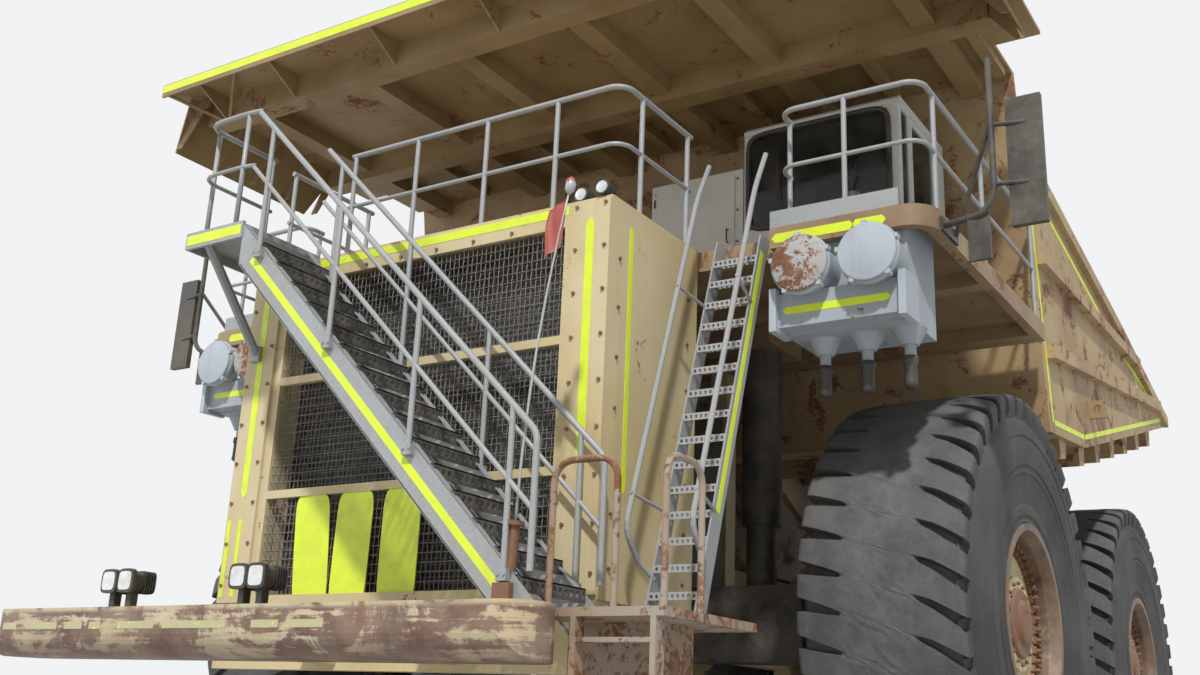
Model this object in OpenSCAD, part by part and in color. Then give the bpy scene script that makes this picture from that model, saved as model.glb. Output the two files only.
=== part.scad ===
// Mining dump truck, parked with its body down and its front wheels turned a little.
// Millimetres. The truck faces -Y, +Z is up, +X is its left side, where the cab stands.
// Inside the modules y is counted from the front axle; placed() moves it to the part's origin.

/* [Overall] */
// Front axle to rear axle
wheelbase = 6200; // [5800:50:6800]
// Front axle to the bumper's front face
bumper_reach = 5000; // [4800:50:5300]
// Rear axle to the tail of the body
tail_reach = 2400; // [2300:50:2700]
// Height of the walking deck's top
deck_z = 5000; // [4900:20:5200]
// Half the width of the deck
deck_half = 4100; // [4000:20:4200]

/* [Wheels] */
// Radius of a tyre out to the lugs' tips
tyre_r = 2000; // [1900:10:2040]
// Width of a tyre
tyre_w = 1400; // [1300:10:1440]
// Radius of the rim's seat, where the tyre sits
rim_r = 800; // [760:10:840]
// Middle of the truck to the outer face of a front tyre
front_face_x = 4150; // [4120:10:4200]
// Middle of the truck to the outer face of a rear tyre
rear_face_x = 3900; // [3880:10:4000]
// Space between twin tyres
twin_gap = 160; // [120:10:200]

/* [Steering] */
// Middle of the truck to a kingpin
kingpin_x = 2350; // [2300:10:2400]
// Angle at which the parked front wheels stand turned to the truck's right
steer_rest = 1; // [0:1:8]
// Length of the arms that the tie rod joins
tie_arm = 750; // [650:10:800]
// Length of the levers that the steering cylinders push
steer_lever = 500; // [450:10:550]
// Radius of the wheel spindles
spindle_r = 330; // [280:10:360]

/* [Frame] */
// Outer face of a frame rail from the middle
rail_out = 740; // [700:10:760]
// Width of a frame rail
rail_w = 240; // [200:10:260]
// Underside of the rails at the front
rail_z = 1700; // [1680:10:1740]
// Height of the rails at the front
rail_h = 700; // [600:10:740]
// Top of the rails under the body
rail_rear_z = 3000; // [2950:10:3050]
// Height of the body's pivot
pivot_z = 3160; // [3150:5:3200]
// Rear axle to the body's pivot
pivot_back = 1100; // [1000:20:1200]
// Radius of the body's pivot pins
pivot_r = 90; // [80:2:96]
// Clearance between a pin and its bore
pin_gap = 0.5; // [0.3:0.1:1]

/* [Radiator housing] */
// Front axle to the grille's face
grille_reach = 3680; // [3600:20:3760]
// Half the width of the housing
house_half = 1970; // [1900:10:2000]
// Half the width of the mesh opening
mesh_half = 1530; // [1480:10:1560]
// Underside of the housing
house_z = 1870; // [1840:10:1900]
// Depth of the housing's side walls
house_depth = 1400; // [1300:10:1420]
// Spacing of the mesh bars
mesh_pitch = 170; // [150:10:260]
// Thickness of a mesh bar
mesh_bar = 14; // [8:1:20]

/* [Bumper] */
// Middle of the truck to the bumper's left end, short of the boarding platform
bumper_left = 2300; // [2200:10:2400]
// Middle of the truck to the bumper's right end
bumper_right = 3250; // [3100:10:3350]
// Top of the bumper
bumper_z = 1740; // [1720:10:1760]
// Height of the bumper
bumper_h = 370; // [320:10:400]
// Depth of the bumper
bumper_d = 520; // [450:10:560]

/* [Stair across the grille] */
// Width between the stair's stringers
stair_w = 780; // [700:10:800]
// Front axle to the outer stringer's face
stair_reach = 4620; // [4600:10:4660]
// X of the stair's top step
stair_top_x = -1170; // [-1250:10:-1100]
// X of the stair's foot
stair_foot_x = 2120; // [2050:10:2200]
// Number of treads
tread_count = 15; // [13:1:17]
// Depth of a stringer, square to its slope
stringer_d = 270; // [220:10:300]
// Thickness of plate in stairs and ladders
step_plate = 14; // [10:1:20]
// Radius of a handrail tube
tube_r = 24; // [20:1:28]
// Height of a handrail's top tube
rail_high = 1080; // [1000:10:1120]
// Height of a handrail's middle tube
rail_mid = 560; // [500:10:620]

/* [Boarding ladder] */
// X of the ladder's middle
ladder_x = 2430; // [2420:5:2440]
// Width of the ladder
ladder_w = 420; // [380:10:440]
// Front axle to the ladder's foot
ladder_foot = 3380; // [3340:10:3420]
// Front axle to the ladder's head
ladder_head = 2330; // [2310:10:2350]
// Number of ladder treads
rung_count = 15; // [12:1:18]

/* [Cab] */
// Inner side of the cab
cab_x0 = 1570; // [1560:10:1600]
// Width of the cab
cab_w = 1650; // [1600:10:1660]
// Height of the cab above the deck
cab_h = 2040; // [1950:10:2060]
// Front axle to the windscreen, forwards
cab_front = 580; // [560:10:620]
// Depth of the cab
cab_d = 1380; // [1320:10:1390]
// Thickness of the cab's walls
cab_wall = 55; // [40:5:70]
// Width of the door
door_w = 740; // [700:10:740]

/* [Body] */
// Half the width of the body's side walls
body_half = 4000; // [3900:10:4040]
// Half the width of the canopy
canopy_half = 4450; // [4300:10:4500]
// Front axle to the body's front edge at the floor
body_front = 1400; // [1380:10:1460]
// Underside of the floor at the front
floor_z = 4000; // [3980:10:4060]
// Rise of the floor towards the tail, per unit of length
floor_rise = 0.26; // [0.22:0.01:0.28]
// Thickness of the floor
floor_t = 80; // [60:5:100]
// Thickness of the side walls
wall_t = 60; // [40:5:80]
// Underside of the canopy's plate
canopy_z = 7700; // [7660:10:7800]
// Thickness of the canopy's plate
canopy_t = 40; // [30:5:60]
// Front axle to the canopy's front lip
canopy_reach = 3300; // [3200:10:3400]
// Angle of the raised body
tilt_max = 45; // [40:1:47]

/* [Hoists] */
// X of the hoist cylinders
hoist_x = 1000; // [980:10:1020]
// Radius of the hoist's barrel
hoist_r = 170; // [150:5:180]
// Wall of each hoist tube
hoist_wall = 20; // [15:1:25]
// Sliding clearance between hoist tubes
hoist_gap = 3; // [2:0.5:5]

/* [Hidden] */
$fn = 48;

// Colours
cream = [0.80, 0.68, 0.45];
dark = [0.16, 0.15, 0.14];
rust = [0.42, 0.26, 0.19];
zinc = [0.62, 0.65, 0.67];
white = [0.85, 0.85, 0.82];
rubber = [0.17, 0.17, 0.18];
smoke = [0.10, 0.12, 0.13, 0.5];

// Places along the truck, counted from the front axle
tail_y = wheelbase + tail_reach;
origin_y = (bumper_reach - tail_y) / 2;
pivot_y = wheelbase + pivot_back;
axle_z = tyre_r;
eps = 1;

module placed() { translate([0, origin_y, 0]) children(); }
// A copy on each side of the truck
module both() { children(); mirror([1, 0, 0]) children(); }
// A box from its lowest to its highest corner
module span(a, b) { translate(a) cube(b - a); }
// A YZ outline given a thickness along X, from x0 to x1
module slab_x(x0, x1, outline) {
    translate([x0, 0, 0]) rotate([90, 0, 90]) linear_extrude(x1 - x0) polygon(outline);
}
// A rod between two points, cut short by s0 at its start and by s1 at its end
module rod(a, b, r, s0 = 0, s1 = 0) {
    v = b - a;
    l = norm(v);
    translate(a) rotate([0, acos(v[2] / l), atan2(v[1], v[0])])
        translate([0, 0, s0]) cylinder(r = r, h = l - s0 - s1, $fn = 20);
}
function unit(v) = v / norm(v);
function turn(p, i) = acos(min(1, unit(p[i] - p[i - 1]) * unit(p[i + 1] - p[i])));
// A tube through a list of points, bent on the radius c at each inner point
bend_in = 2;
module tube(p, r = tube_r, c = 150) {
    last = len(p) - 1;
    cut = [for (i = [0 : last]) i == 0 || i == last ? 0 : c * tan(turn(p, i) / 2)];
    for (i = [0 : last - 1]) rod(p[i], p[i + 1], r, cut[i], cut[i + 1]);
    for (i = [1 : 1 : last - 1]) {
        u = unit(p[i] - p[i - 1]);
        v = unit(p[i + 1] - p[i]);
        m = unit(v - (v * u) * u);
        n = cross(u, m);
        o = p[i] - cut[i] * u + c * m;
        // The bend is a little thinner than the runs and reaches a little into both
        multmatrix([[-m[0], u[0], n[0], o[0]], [-m[1], u[1], n[1], o[1]], [-m[2], u[2], n[2], o[2]], [0, 0, 0, 1]])
            rotate([0, 0, -bend_in]) rotate_extrude(angle = turn(p, i) + 2 * bend_in, $fn = 48)
                translate([c, 0]) circle(r = r - 0.4, $fn = 20);
    }
}

// Wheels

// Half section of a tyre: bead, bulged sidewall, rounded shoulder, crowned tread
module tyre_section() {
    h = tyre_w / 2;
    polygon([
        [rim_r, -h * 0.80], [rim_r + 55, -h * 0.86], [rim_r + 55, -h * 0.94], [rim_r + (tyre_r - rim_r) * 0.35, -h * 0.99],
        [rim_r + (tyre_r - rim_r) * 0.55, -h], [rim_r + (tyre_r - rim_r) * 0.78, -h * 0.96],
        [tyre_r - 70, -h * 0.86], [tyre_r - 18, -h * 0.76], [tyre_r, -h * 0.5],
        [tyre_r, h * 0.5], [tyre_r - 18, h * 0.76], [tyre_r - 70, h * 0.86],
        [rim_r + (tyre_r - rim_r) * 0.78, h * 0.96], [rim_r + (tyre_r - rim_r) * 0.55, h],
        [rim_r + (tyre_r - rim_r) * 0.35, h * 0.99], [rim_r + 55, h * 0.94], [rim_r + 55, h * 0.86], [rim_r, h * 0.80]
    ]);
}
// A tyre centred on the origin, its axle along X
module tyre() {
    rotate([0, 90, 0]) rotate_extrude($fn = 96) tyre_section();
}

hub_r = spindle_r + 70;
// A rim with its hub: seat, flanges, drop and outer disc, its axle along X and its face at +X
module rim(width, disc_in) {
    h = width / 2;
    rotate([0, 90, 0]) rotate_extrude($fn = 96) {
        polygon([
            [rim_r, -h * 0.80], [rim_r + 55, -h * 0.86], [rim_r + 55, -h * 0.94], [rim_r - 10, -h * 0.94],
            [rim_r - 50, -h * 0.80], [rim_r - 50, h - disc_in - disc_t], [spindle_r + pin_gap, h - disc_in - disc_t],
            [spindle_r + pin_gap, h - disc_in], [rim_r - 50, h - disc_in], [rim_r - 50, h * 0.80],
            [rim_r - 10, h * 0.94], [rim_r + 55, h * 0.94], [rim_r + 55, h * 0.86], [rim_r, h * 0.80]
        ]);
    }
}
// The cap that closes the hub outside the disc
hub_cap = 70;
module hub_end(x) {
    translate([x - eps, 0, 0]) rotate([0, 90, 0]) cylinder(r = hub_r, h = hub_cap, $fn = 64);
}

front_mid_x = front_face_x - tyre_w / 2;
disc_in = 260;
disc_t = 90;

// Turns what a knuckle carries by the resting angle, on side s (+1 left, -1 right)
module turned(s) {
    translate([s * kingpin_x, 0, 0]) rotate([0, 0, -steer_rest]) translate([-s * kingpin_x, 0, 0]) children();
}
module side_of(s) { if (s > 0) children(); else mirror([1, 0, 0]) children(); }

module front_tyre(s) {
    color(rubber) placed() turned(s) side_of(s) translate([front_mid_x, 0, axle_z]) tyre();
}
module front_rim(s) {
    color(rust) placed() turned(s) side_of(s) translate([front_mid_x, 0, axle_z]) {
        rim(tyre_w, disc_in);
        hub_end(tyre_w / 2 - disc_in);
    }
}
rear_out_x = rear_face_x - tyre_w / 2;
rear_in_x = rear_out_x - tyre_w - twin_gap;
module rear_tyres(s) {
    color(rubber) placed() side_of(s) for (x = [rear_out_x, rear_in_x]) translate([x, wheelbase, axle_z]) tyre();
}
module rear_rims(s) {
    color(rust) placed() side_of(s) translate([0, wheelbase, axle_z]) {
        for (x = [rear_out_x, rear_in_x]) translate([x, 0, 0]) rim(tyre_w, disc_in);
        hub_end(rear_out_x + tyre_w / 2 - disc_in);
        // Drum that joins the twin rims
        translate([rear_in_x + tyre_w / 2 - disc_in - eps, 0, 0]) rotate([0, 90, 0]) difference() {
            cylinder(r = hub_r + 120, h = tyre_w + twin_gap - disc_t + 2 * eps, $fn = 64);
            translate([0, 0, -eps]) cylinder(r = spindle_r + pin_gap, h = tyre_w + twin_gap, $fn = 64);
        }
    }
}
module tyre_front_left() { front_tyre(1); }
module tyre_front_right() { front_tyre(-1); }
module rim_front_left() { front_rim(1); }
module rim_front_right() { front_rim(-1); }
module tyres_rear_left() { rear_tyres(1); }
module tyres_rear_right() { rear_tyres(-1); }
module rims_rear_left() { rear_rims(1); }
module rims_rear_right() { rear_rims(-1); }

// Steering

ear_t = 100;
ear_low = rail_z - 60;
ear_high = axle_z + (axle_z - ear_low - ear_t);
lever_t = 100;
lever_z = ear_low - lever_t - 40;
eye_h = 90;
eye_z = lever_z - 20 - eye_h / 2;
kingpin_r = 90;
eye_pin_r = 35;

module knuckle(s) {
    color(dark) placed() turned(s) side_of(s) {
        translate([kingpin_x, 0, ear_low + ear_t + 5]) cylinder(r = 210, h = ear_high - ear_low - ear_t - 10);
        translate([kingpin_x, 0, lever_z]) cylinder(r = kingpin_r, h = ear_high + ear_t - lever_z);
        span([kingpin_x, -200, axle_z - 250], [kingpin_x + 240, 200, axle_z + 250]);
        translate([kingpin_x + 200, 0, axle_z]) rotate([0, 90, 0])
            cylinder(r = spindle_r, h = front_face_x - disc_in - 20 - kingpin_x - 200);
        // Arms under the lower ear: back to the tie rod, forward to the cylinder
        translate([0, 0, lever_z]) linear_extrude(lever_t) {
            polygon([
                [kingpin_x - 130, 0], [kingpin_x - 60, tie_arm], [kingpin_x + 60, tie_arm], [kingpin_x + 130, 0],
                [kingpin_x + 60, -steer_lever], [kingpin_x - 60, -steer_lever]
            ]);
            for (y = [tie_arm, -steer_lever]) translate([kingpin_x, y]) circle(r = 75);
        }
        translate([kingpin_x, tie_arm, eye_z - eye_h / 2 - 10])
            cylinder(r = eye_pin_r, h = lever_z + 20 - (eye_z - eye_h / 2 - 10));
    }
}
module knuckle_left() { knuckle(1); }
module knuckle_right() { knuckle(-1); }

// Where a point d ahead of or behind a kingpin stands when the wheels are turned
function at_knuckle(s, d) = [s * kingpin_x + d * sin(steer_rest), d * cos(steer_rest)];

module eye(p, bore) {
    translate([p[0], p[1], eye_z - eye_h / 2]) difference() {
        cylinder(r = 75, h = eye_h);
        translate([0, 0, -eps]) cylinder(r = bore, h = eye_h + 2 * eps);
    }
}
module tie_rod() {
    a = at_knuckle(1, tie_arm);
    b = at_knuckle(-1, tie_arm);
    color(dark) placed() {
        eye(a, eye_pin_r + pin_gap);
        eye(b, eye_pin_r + 2);
        translate([b[0] + 60, a[1], eye_z]) rotate([0, 90, 0]) cylinder(r = 45, h = a[0] - b[0] - 120);
    }
}

steer_base = [900, -560];
steer_barrel_r = 70;
steer_rod_r = 40;
steer_bore_r = 55;
function steer_eye(s) = at_knuckle(s, -steer_lever);
function steer_base_at(s) = [s * steer_base[0], steer_base[1]];
// Length and heading of a steering cylinder at rest
function steer_len(s) = norm(steer_eye(s) - steer_base_at(s));
function steer_dir(s) = atan2(steer_eye(s)[1] - steer_base_at(s)[1], steer_eye(s)[0] - steer_base_at(s)[0]);
steer_barrel_len = 930;
// Eye of a rod to the inner face of its piston
piston_back = 930;

module along_steer(s) {
    translate([steer_base_at(s)[0], steer_base_at(s)[1], eye_z]) rotate([0, 0, steer_dir(s)]) rotate([0, 90, 0])
        children();
}
module steer_barrel(s) {
    color(dark) placed() {
        eye(steer_base_at(s), eye_pin_r + pin_gap);
        difference() {
            union() {
                along_steer(s) translate([0, 0, 50]) cylinder(r = eye_h / 2 - 1, h = 90);
                along_steer(s) translate([0, 0, 115]) cylinder(r = steer_barrel_r, h = steer_barrel_len - 115);
            }
            along_steer(s) translate([0, 0, 150]) cylinder(r = steer_bore_r, h = steer_barrel_len);
        }
    }
}
module steer_rod(s) {
    color(zinc) placed() {
        translate([steer_eye(s)[0], steer_eye(s)[1], eye_z - eye_h / 2]) {
            cylinder(r = 75, h = eye_h);
            translate([0, 0, -10]) cylinder(r = eye_pin_r + 10, h = eye_h + 22);
        }
        from = steer_len(s) - piston_back;
        along_steer(s) translate([0, 0, from]) cylinder(r = steer_rod_r, h = steer_len(s) - from - 60);
        along_steer(s) translate([0, 0, from]) cylinder(r = steer_bore_r - 1, h = 80);
    }
}
module steer_barrel_left() { steer_barrel(1); }
module steer_barrel_right() { steer_barrel(-1); }
module steer_rod_left() { steer_rod(1); }
module steer_rod_right() { steer_rod(-1); }

// Frame, axles, engine and tanks

rail_in = rail_out - rail_w;
house_front = -grille_reach;
frame_front = house_front + 80;
frame_back = pivot_y + 260;
// Side of a rail: low at the front, a ramp, then high over the rear axle
rail_front_top = house_z + 80;
core_back = house_front + 720;
rail_outline = [
    [frame_front, rail_z], [2700, rail_z], [3400, 2150], [wheelbase - 1050, 2150], [wheelbase - 800, 2660],
    [wheelbase + 800, 2660], [frame_back, 2780], [frame_back, rail_rear_z], [3300, rail_rear_z],
    [2300, rail_z + rail_h], [core_back + 200, rail_z + rail_h], [core_back, rail_front_top], [frame_front, rail_front_top]
];
// Cross members of the frame: y, low z, high z, half depth along y
cross_members = [
    [frame_front + 260, rail_z + 20, rail_front_top - 20, 120],
    [-1250, rail_z + 40, rail_z + 320, 130],
    [1500, rail_z + 40, rail_z + rail_h - 40, 140],
    [4150, 2350, 2750, 150],
    [wheelbase + 900, 2720, rail_rear_z - 40, 110]
];
post_x = 1000;
post_y = 850;
hoist_base = [2500, 1450];
hoist_top = [3000, 3750];
hoist_ear = 45;
hoist_eye_w = 110;
hoist_pin_r = 60;

module frame() {
    color(cream) placed() {
        both() difference() {
            union() {
                slab_x(rail_in, rail_out, rail_outline);
                // Ears of the body's pivot on the rail's end
                for (x = [rail_in, rail_out - 60]) slab_x(x, x + 60, [
                    [pivot_y - 330, rail_rear_z - eps], [pivot_y - 130, pivot_z + 130], [pivot_y + 130, pivot_z + 130],
                    [frame_back, rail_rear_z - eps]
                ]);
                // Posts that carry the deck in front of the body
                span([rail_in + 20, post_y - 110, rail_z + rail_h - eps], [rail_out - 20, post_y + 110, deck_z - deck_beam]);
                // Brackets of the hoists, outside the rails
                for (x = [hoist_x - hoist_eye_w / 2 - 10 - hoist_ear, hoist_x + hoist_eye_w / 2 + 10])
                    slab_x(x, x + hoist_ear, [
                        [hoist_base[0] - 170, hoist_base[1] - 200], [hoist_base[0] + 170, hoist_base[1] - 200],
                        [hoist_base[0] + 100, hoist_base[1] + 110], [hoist_base[0] - 100, hoist_base[1] + 110]
                    ]);
                span([rail_out - eps, hoist_base[0] - 170, hoist_base[1] - 200],
                    [hoist_x + hoist_eye_w / 2 + 10 + hoist_ear, hoist_base[0] + 170, hoist_base[1] - 145]);
                span([rail_in + 40, hoist_base[0] - 170, hoist_base[1] - 200], [rail_out, hoist_base[0] + 170, rail_z + 260]);
                // Pads under the body's girders
                span([girder_x[0], 4200, rail_rear_z - eps], [girder_x[1], 4600, girder_z - 5]);
                // Plates that carry the steering cylinders' pins
                for (z = [eye_z + eye_h / 2 + 6, eye_z - eye_h / 2 - 36])
                    span([rail_in + 60, steer_base[1] - 90, z], [steer_base[0] + 90, steer_base[1] + 90, z + 30]);
                span([rail_in + 60, steer_base[1] - 90, eye_z - eye_h / 2 - 36],
                    [rail_out - 60, steer_base[1] + 90, rail_z + eps]);
                translate([steer_base[0], steer_base[1], eye_z - eye_h / 2 - 36])
                    cylinder(r = eye_pin_r, h = eye_h + 72);
            }
            translate([rail_in - eps, pivot_y, pivot_z]) rotate([0, 90, 0])
                cylinder(r = pivot_r + pin_gap, h = rail_w + 2 * eps);
        }
        both() translate([hoist_x - hoist_eye_w / 2 - 20, hoist_base[0], hoist_base[1]]) rotate([0, 90, 0])
            cylinder(r = hoist_pin_r, h = hoist_eye_w + 40);
        for (c = cross_members)
            span([-rail_in - eps, c[0] - c[3], c[1]], [rail_in + eps, c[0] + c[3], c[2]]);
        // Apron that carries the bumper, the stair and the platform
        span([-house_half + 10, house_front, rail_z - 350], [house_half - 10, house_front + 170, house_z]);
        both() span([rail_in, -(bumper_reach - bumper_d), rail_z - 300],
            [rail_out, house_front + eps, rail_z + 10]);
    }
}

carrier_d = 220;
strut_x = 1500;
module front_axle() {
    color(dark) placed() both() {
        difference() {
            union() {
                span([rail_out, -carrier_d, ear_low], [kingpin_x - 330, carrier_d, ear_high + ear_t]);
                for (z = [ear_low, ear_high]) {
                    span([kingpin_x - 340, -170, z], [kingpin_x, 170, z + ear_t]);
                    translate([kingpin_x, 0, z]) cylinder(r = 170, h = ear_t);
                }
            }
            translate([kingpin_x, 0, ear_low - eps]) cylinder(r = kingpin_r + pin_gap, h = ear_high - ear_low + ear_t + 2 * eps);
        }
        // Suspension strut up to the deck's beam
        translate([strut_x, 0, ear_high + ear_t - eps]) cylinder(r = 150, h = 700);
        translate([strut_x, 0, ear_high + ear_t + 600]) cylinder(r = 200, h = deck_z - 260 - (ear_high + ear_t + 600));
    }
}

rear_stub = rear_face_x - disc_in - 20;
module rear_axle() {
    color(dark) placed() translate([0, wheelbase, axle_z]) {
        translate([-rear_stub, 0, 0]) rotate([0, 90, 0]) cylinder(r = spindle_r, h = 2 * rear_stub);
        translate([-860, 0, 0]) rotate([0, 90, 0]) cylinder(r = 560, h = 1720, $fn = 64);
        // Nose link forward to the frame's cross member
        slab_x(-260, 260, [[-2200, -60], [-400, -300], [-400, 300], [-1850, 350], [-2200, 350]]);
        // Struts up to the rails behind the axle
        for (x = [-620, 620]) translate([x, 380, 300]) cylinder(r = 110, h = 2660 - axle_z - 300);
    }
}

module bumper() {
    y0 = -bumper_reach;
    r = bumper_d / 2;
    under = 200;
    color(rust) placed() intersection() {
        // Plan: a bar with half-round ends
        translate([0, 0, bumper_z - bumper_h]) linear_extrude(bumper_h) union() {
            translate([-bumper_right + r, y0]) square([bumper_left + bumper_right - 2 * r, bumper_d]);
            for (x = [-bumper_right + r, bumper_left - r]) translate([x, y0 + r]) circle(r = r);
        }
        // Section: the lower front edge is rounded under
        slab_x(-bumper_right, bumper_left, concat(
            [[y0 + bumper_d, bumper_z - bumper_h], [y0 + bumper_d, bumper_z], [y0, bumper_z]],
            [for (i = [0 : 8]) [y0 + under * (1 - cos(i * 90 / 8)), bumper_z - bumper_h + under * (1 - sin(i * 90 / 8))]]
        ));
    }
}

module engine() {
    color(dark) placed() span([-rail_out, core_back + 260, rail_z + rail_h], [rail_out, 600, 4300]);
}

module tanks() {
    // Fuel and oil tanks between the axles, on brackets from the rails
    color(cream) placed() both() {
        span([1230, 2350, 1500], [1950, 3900, 2700]);
        span([rail_out, 3500, 2240], [1231, 3640, 2440]);
        span([rail_out, 2350, 2160], [1231, 2450, 2340]);
    }
}

// Radiator housing

house_back = house_front + house_depth;
bar_z = [2830, 3860];
mesh_top = deck_z - 200;
mesh_low = house_z + 90;
bar_h = 70;

module radiator_housing() {
    color(cream) placed() {
        both() {
            // Front column with its raised outer panel, and the side wall
            span([mesh_half, house_front, house_z], [house_half, house_front + 60, deck_z]);
            span([mesh_half + 90, house_front - 30, house_z + 30], [house_half, house_front + eps, deck_z - 30]);
            span([house_half - 60, house_front, house_z], [house_half, house_back, deck_z]);
            span([mesh_half, house_front, house_z], [mesh_half + 60, house_front + 260, deck_z]);
        }
        span([-house_half, house_front, deck_z - 200], [house_half, house_front + 60, deck_z]);
        span([-house_half, house_front, deck_z - 50], [house_half, house_back, deck_z]);
        span([-mesh_half - eps, house_front, house_z], [mesh_half + eps, house_front + 60, mesh_low]);
        for (z = bar_z) span([-mesh_half - eps, house_front, z - bar_h / 2], [mesh_half + eps, house_front + 60, z + bar_h / 2]);
    }
}

// The three rows of mesh, each a plate of bars seated in the housing's frame: low z, high z
mesh_rows = [
    [mesh_low, bar_z[0] - bar_h / 2], [bar_z[0] + bar_h / 2, bar_z[1] - bar_h / 2], [bar_z[1] + bar_h / 2, mesh_top]
];
module grille() {
    color(dark) placed() for (r = mesh_rows) {
        h = r[1] - r[0];
        nx = round(2 * mesh_half / mesh_pitch);
        nz = round(h / mesh_pitch);
        translate([0, house_front + 40, r[0]]) rotate([90, 0, 0]) linear_extrude(mesh_bar) difference() {
            translate([-mesh_half, 0]) square([2 * mesh_half, h]);
            for (i = [0 : nx - 1], j = [0 : nz - 1])
                translate([-mesh_half + (i + 0.5) * 2 * mesh_half / nx, (j + 0.5) * h / nz])
                    square([2 * mesh_half / nx - mesh_bar, h / nz - mesh_bar], center = true);
        }
    }
}

module radiator_core() {
    color(dark) placed() span([-mesh_half, house_front + 260, rail_front_top], [mesh_half, core_back - 20, mesh_top]);
}

// Stair across the grille

stair_run = stair_foot_x - stair_top_x;
stair_rise = deck_z - bumper_z;
stair_slope = atan2(stair_rise, stair_run);
stair_y0 = -stair_reach;
landing_x0 = stair_top_x - 720;

module stringer(y) {
    up = stringer_d / 2 / cos(stair_slope);
    translate([0, y + step_plate, 0]) rotate([90, 0, 0]) linear_extrude(step_plate) polygon([
        [stair_top_x, deck_z - 2 * up], [stair_top_x, deck_z],
        [stair_foot_x - up, bumper_z + up], [stair_foot_x, bumper_z], [stair_foot_x - 2 * up, bumper_z]
    ]);
}
module front_stair() {
    color(zinc) placed() {
        stringer(stair_y0);
        stringer(stair_y0 + stair_w);
        for (i = [1 : tread_count]) {
            x = stair_top_x + stair_run * i / (tread_count + 1);
            z = deck_z - stair_rise * i / (tread_count + 1);
            span([x - 190, stair_y0, z - 30], [x + 70, stair_y0 + stair_w + step_plate, z - 30 + step_plate]);
            span([x + 70 - step_plate, stair_y0, z - 120], [x + 70, stair_y0 + stair_w + step_plate, z - 20]);
        }
        // Landing at the top, with its skirt and its brace to the housing
        span([landing_x0, stair_y0, deck_z - 50], [stair_top_x + eps, house_front - 30, deck_z]);
        span([landing_x0, stair_y0 - 10, deck_z - 130], [stair_top_x, stair_y0 + 20, deck_z + 20]);
        rod([landing_x0 + 200, stair_y0 + 60, deck_z - 60], [landing_x0 + 60, house_front - 66, deck_z - 850], 45);
        span([landing_x0, house_front - 80, deck_z - 930], [landing_x0 + 120, house_front - 30, deck_z - 790]);
    }
}
// Posts and tubes on both sides of the stair and round the landing
stair_posts = [0.08, 0.36, 0.64, 0.92];
module stair_side(y) {
    function p(t, h) = [stair_top_x + stair_run * t, y, deck_z - stair_rise * t + h];
    tube([p(0.02, rail_high), p(0.985, rail_high), p(0.985, 160)]);
    tube([p(0.02, rail_mid), p(0.985, rail_mid)], tube_r - 5);
    for (t = stair_posts) rod(p(t, -40), p(t, rail_high), tube_r - 2);
}
module stair_rails() {
    color(zinc) placed() {
        stair_side(stair_y0 - tube_r);
        stair_side(stair_y0 + stair_w + step_plate + tube_r);
    }
}

// Boarding ladder, its platform, and the ladder down to the ground

platform_y0 = -(bumper_reach - bumper_d) + 50;
platform_y1 = -ladder_foot + 250;
platform_x0 = house_half - 10;
platform_x1 = 2960;
module boarding_ladder() {
    rise = deck_z - bumper_z;
    lean = ladder_foot - ladder_head;
    color(zinc) placed() {
        for (e = [-1, 1]) translate([ladder_x + e * ladder_w / 2 - (e > 0 ? step_plate : 0), 0, 0])
            slab_x(0, step_plate, [
                [-ladder_foot - 80, bumper_z], [-ladder_foot + 80, bumper_z],
                [-ladder_head + 80, deck_z], [-ladder_head - 80, deck_z]
            ]);
        for (i = [1 : rung_count]) {
            y = -ladder_foot + lean * i / (rung_count + 1);
            z = bumper_z + rise * i / (rung_count + 1);
            span([ladder_x - ladder_w / 2, y - 80, z - step_plate], [ladder_x + ladder_w / 2, y + 90, z]);
            span([ladder_x - ladder_w / 2, y - 80, z - 60], [ladder_x + ladder_w / 2, y - 80 + step_plate, z]);
        }
        // Grab tubes along both stringers
        for (e = [-1, 1]) {
            x = ladder_x + e * (ladder_w / 2 + 60);
            tube([[x, -ladder_foot - 60, bumper_z + 420], [x, -ladder_foot - 260, bumper_z + 620],
                [x, -ladder_head - 330, deck_z + 300], [x, -ladder_head - 120, deck_z + 700]]);
            for (t = [0.25, 0.8]) rod(
                [ladder_x + e * (ladder_w / 2 - 8), -ladder_foot + lean * t - 40, bumper_z + rise * t],
                [x, -ladder_foot - 260 + (lean - 70) * (t - 0.19) / 0.9, bumper_z + rise * t + 90], 14);
            rod([x, -ladder_foot - 60, bumper_z + 420], [ladder_x + e * (ladder_w / 2 - 8), -ladder_foot + 60, bumper_z + 300], 18);
        }
    }
}
module lower_platform() {
    color(zinc) placed() {
        span([platform_x0, platform_y0, bumper_z - 60], [platform_x1, platform_y1, bumper_z]);
        // Boxes under the platform
        span([platform_x0, platform_y0 + 430, bumper_z - 420], [platform_x1 - 300, platform_y0 + 930, bumper_z - 59]);
        // Ladder to the ground
        for (x = [2260, 2860]) span([x, platform_y0, 620], [x + 40, platform_y0 + 110, bumper_z - 59]);
        for (i = [0 : 3]) span([2260, platform_y0, 680 + i * 280], [2900, platform_y0 + 110, 710 + i * 280]);
        // Hoops beside the way in
        for (h = [[2050, 2560], [platform_x1 - 30, platform_x1 - 30]]) {
            x0 = h[0];
            x1 = h[1];
            y1 = x0 == x1 ? platform_y0 + 520 : platform_y0 + 40;
            tube([[x0, platform_y0 + 40, bumper_z - 30], [x0, platform_y0 + 40, bumper_z + 980],
                [x1, y1, bumper_z + 980], [x1, y1, bumper_z - 30]]);
        }
    }
}

// Deck and what stands on it

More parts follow.
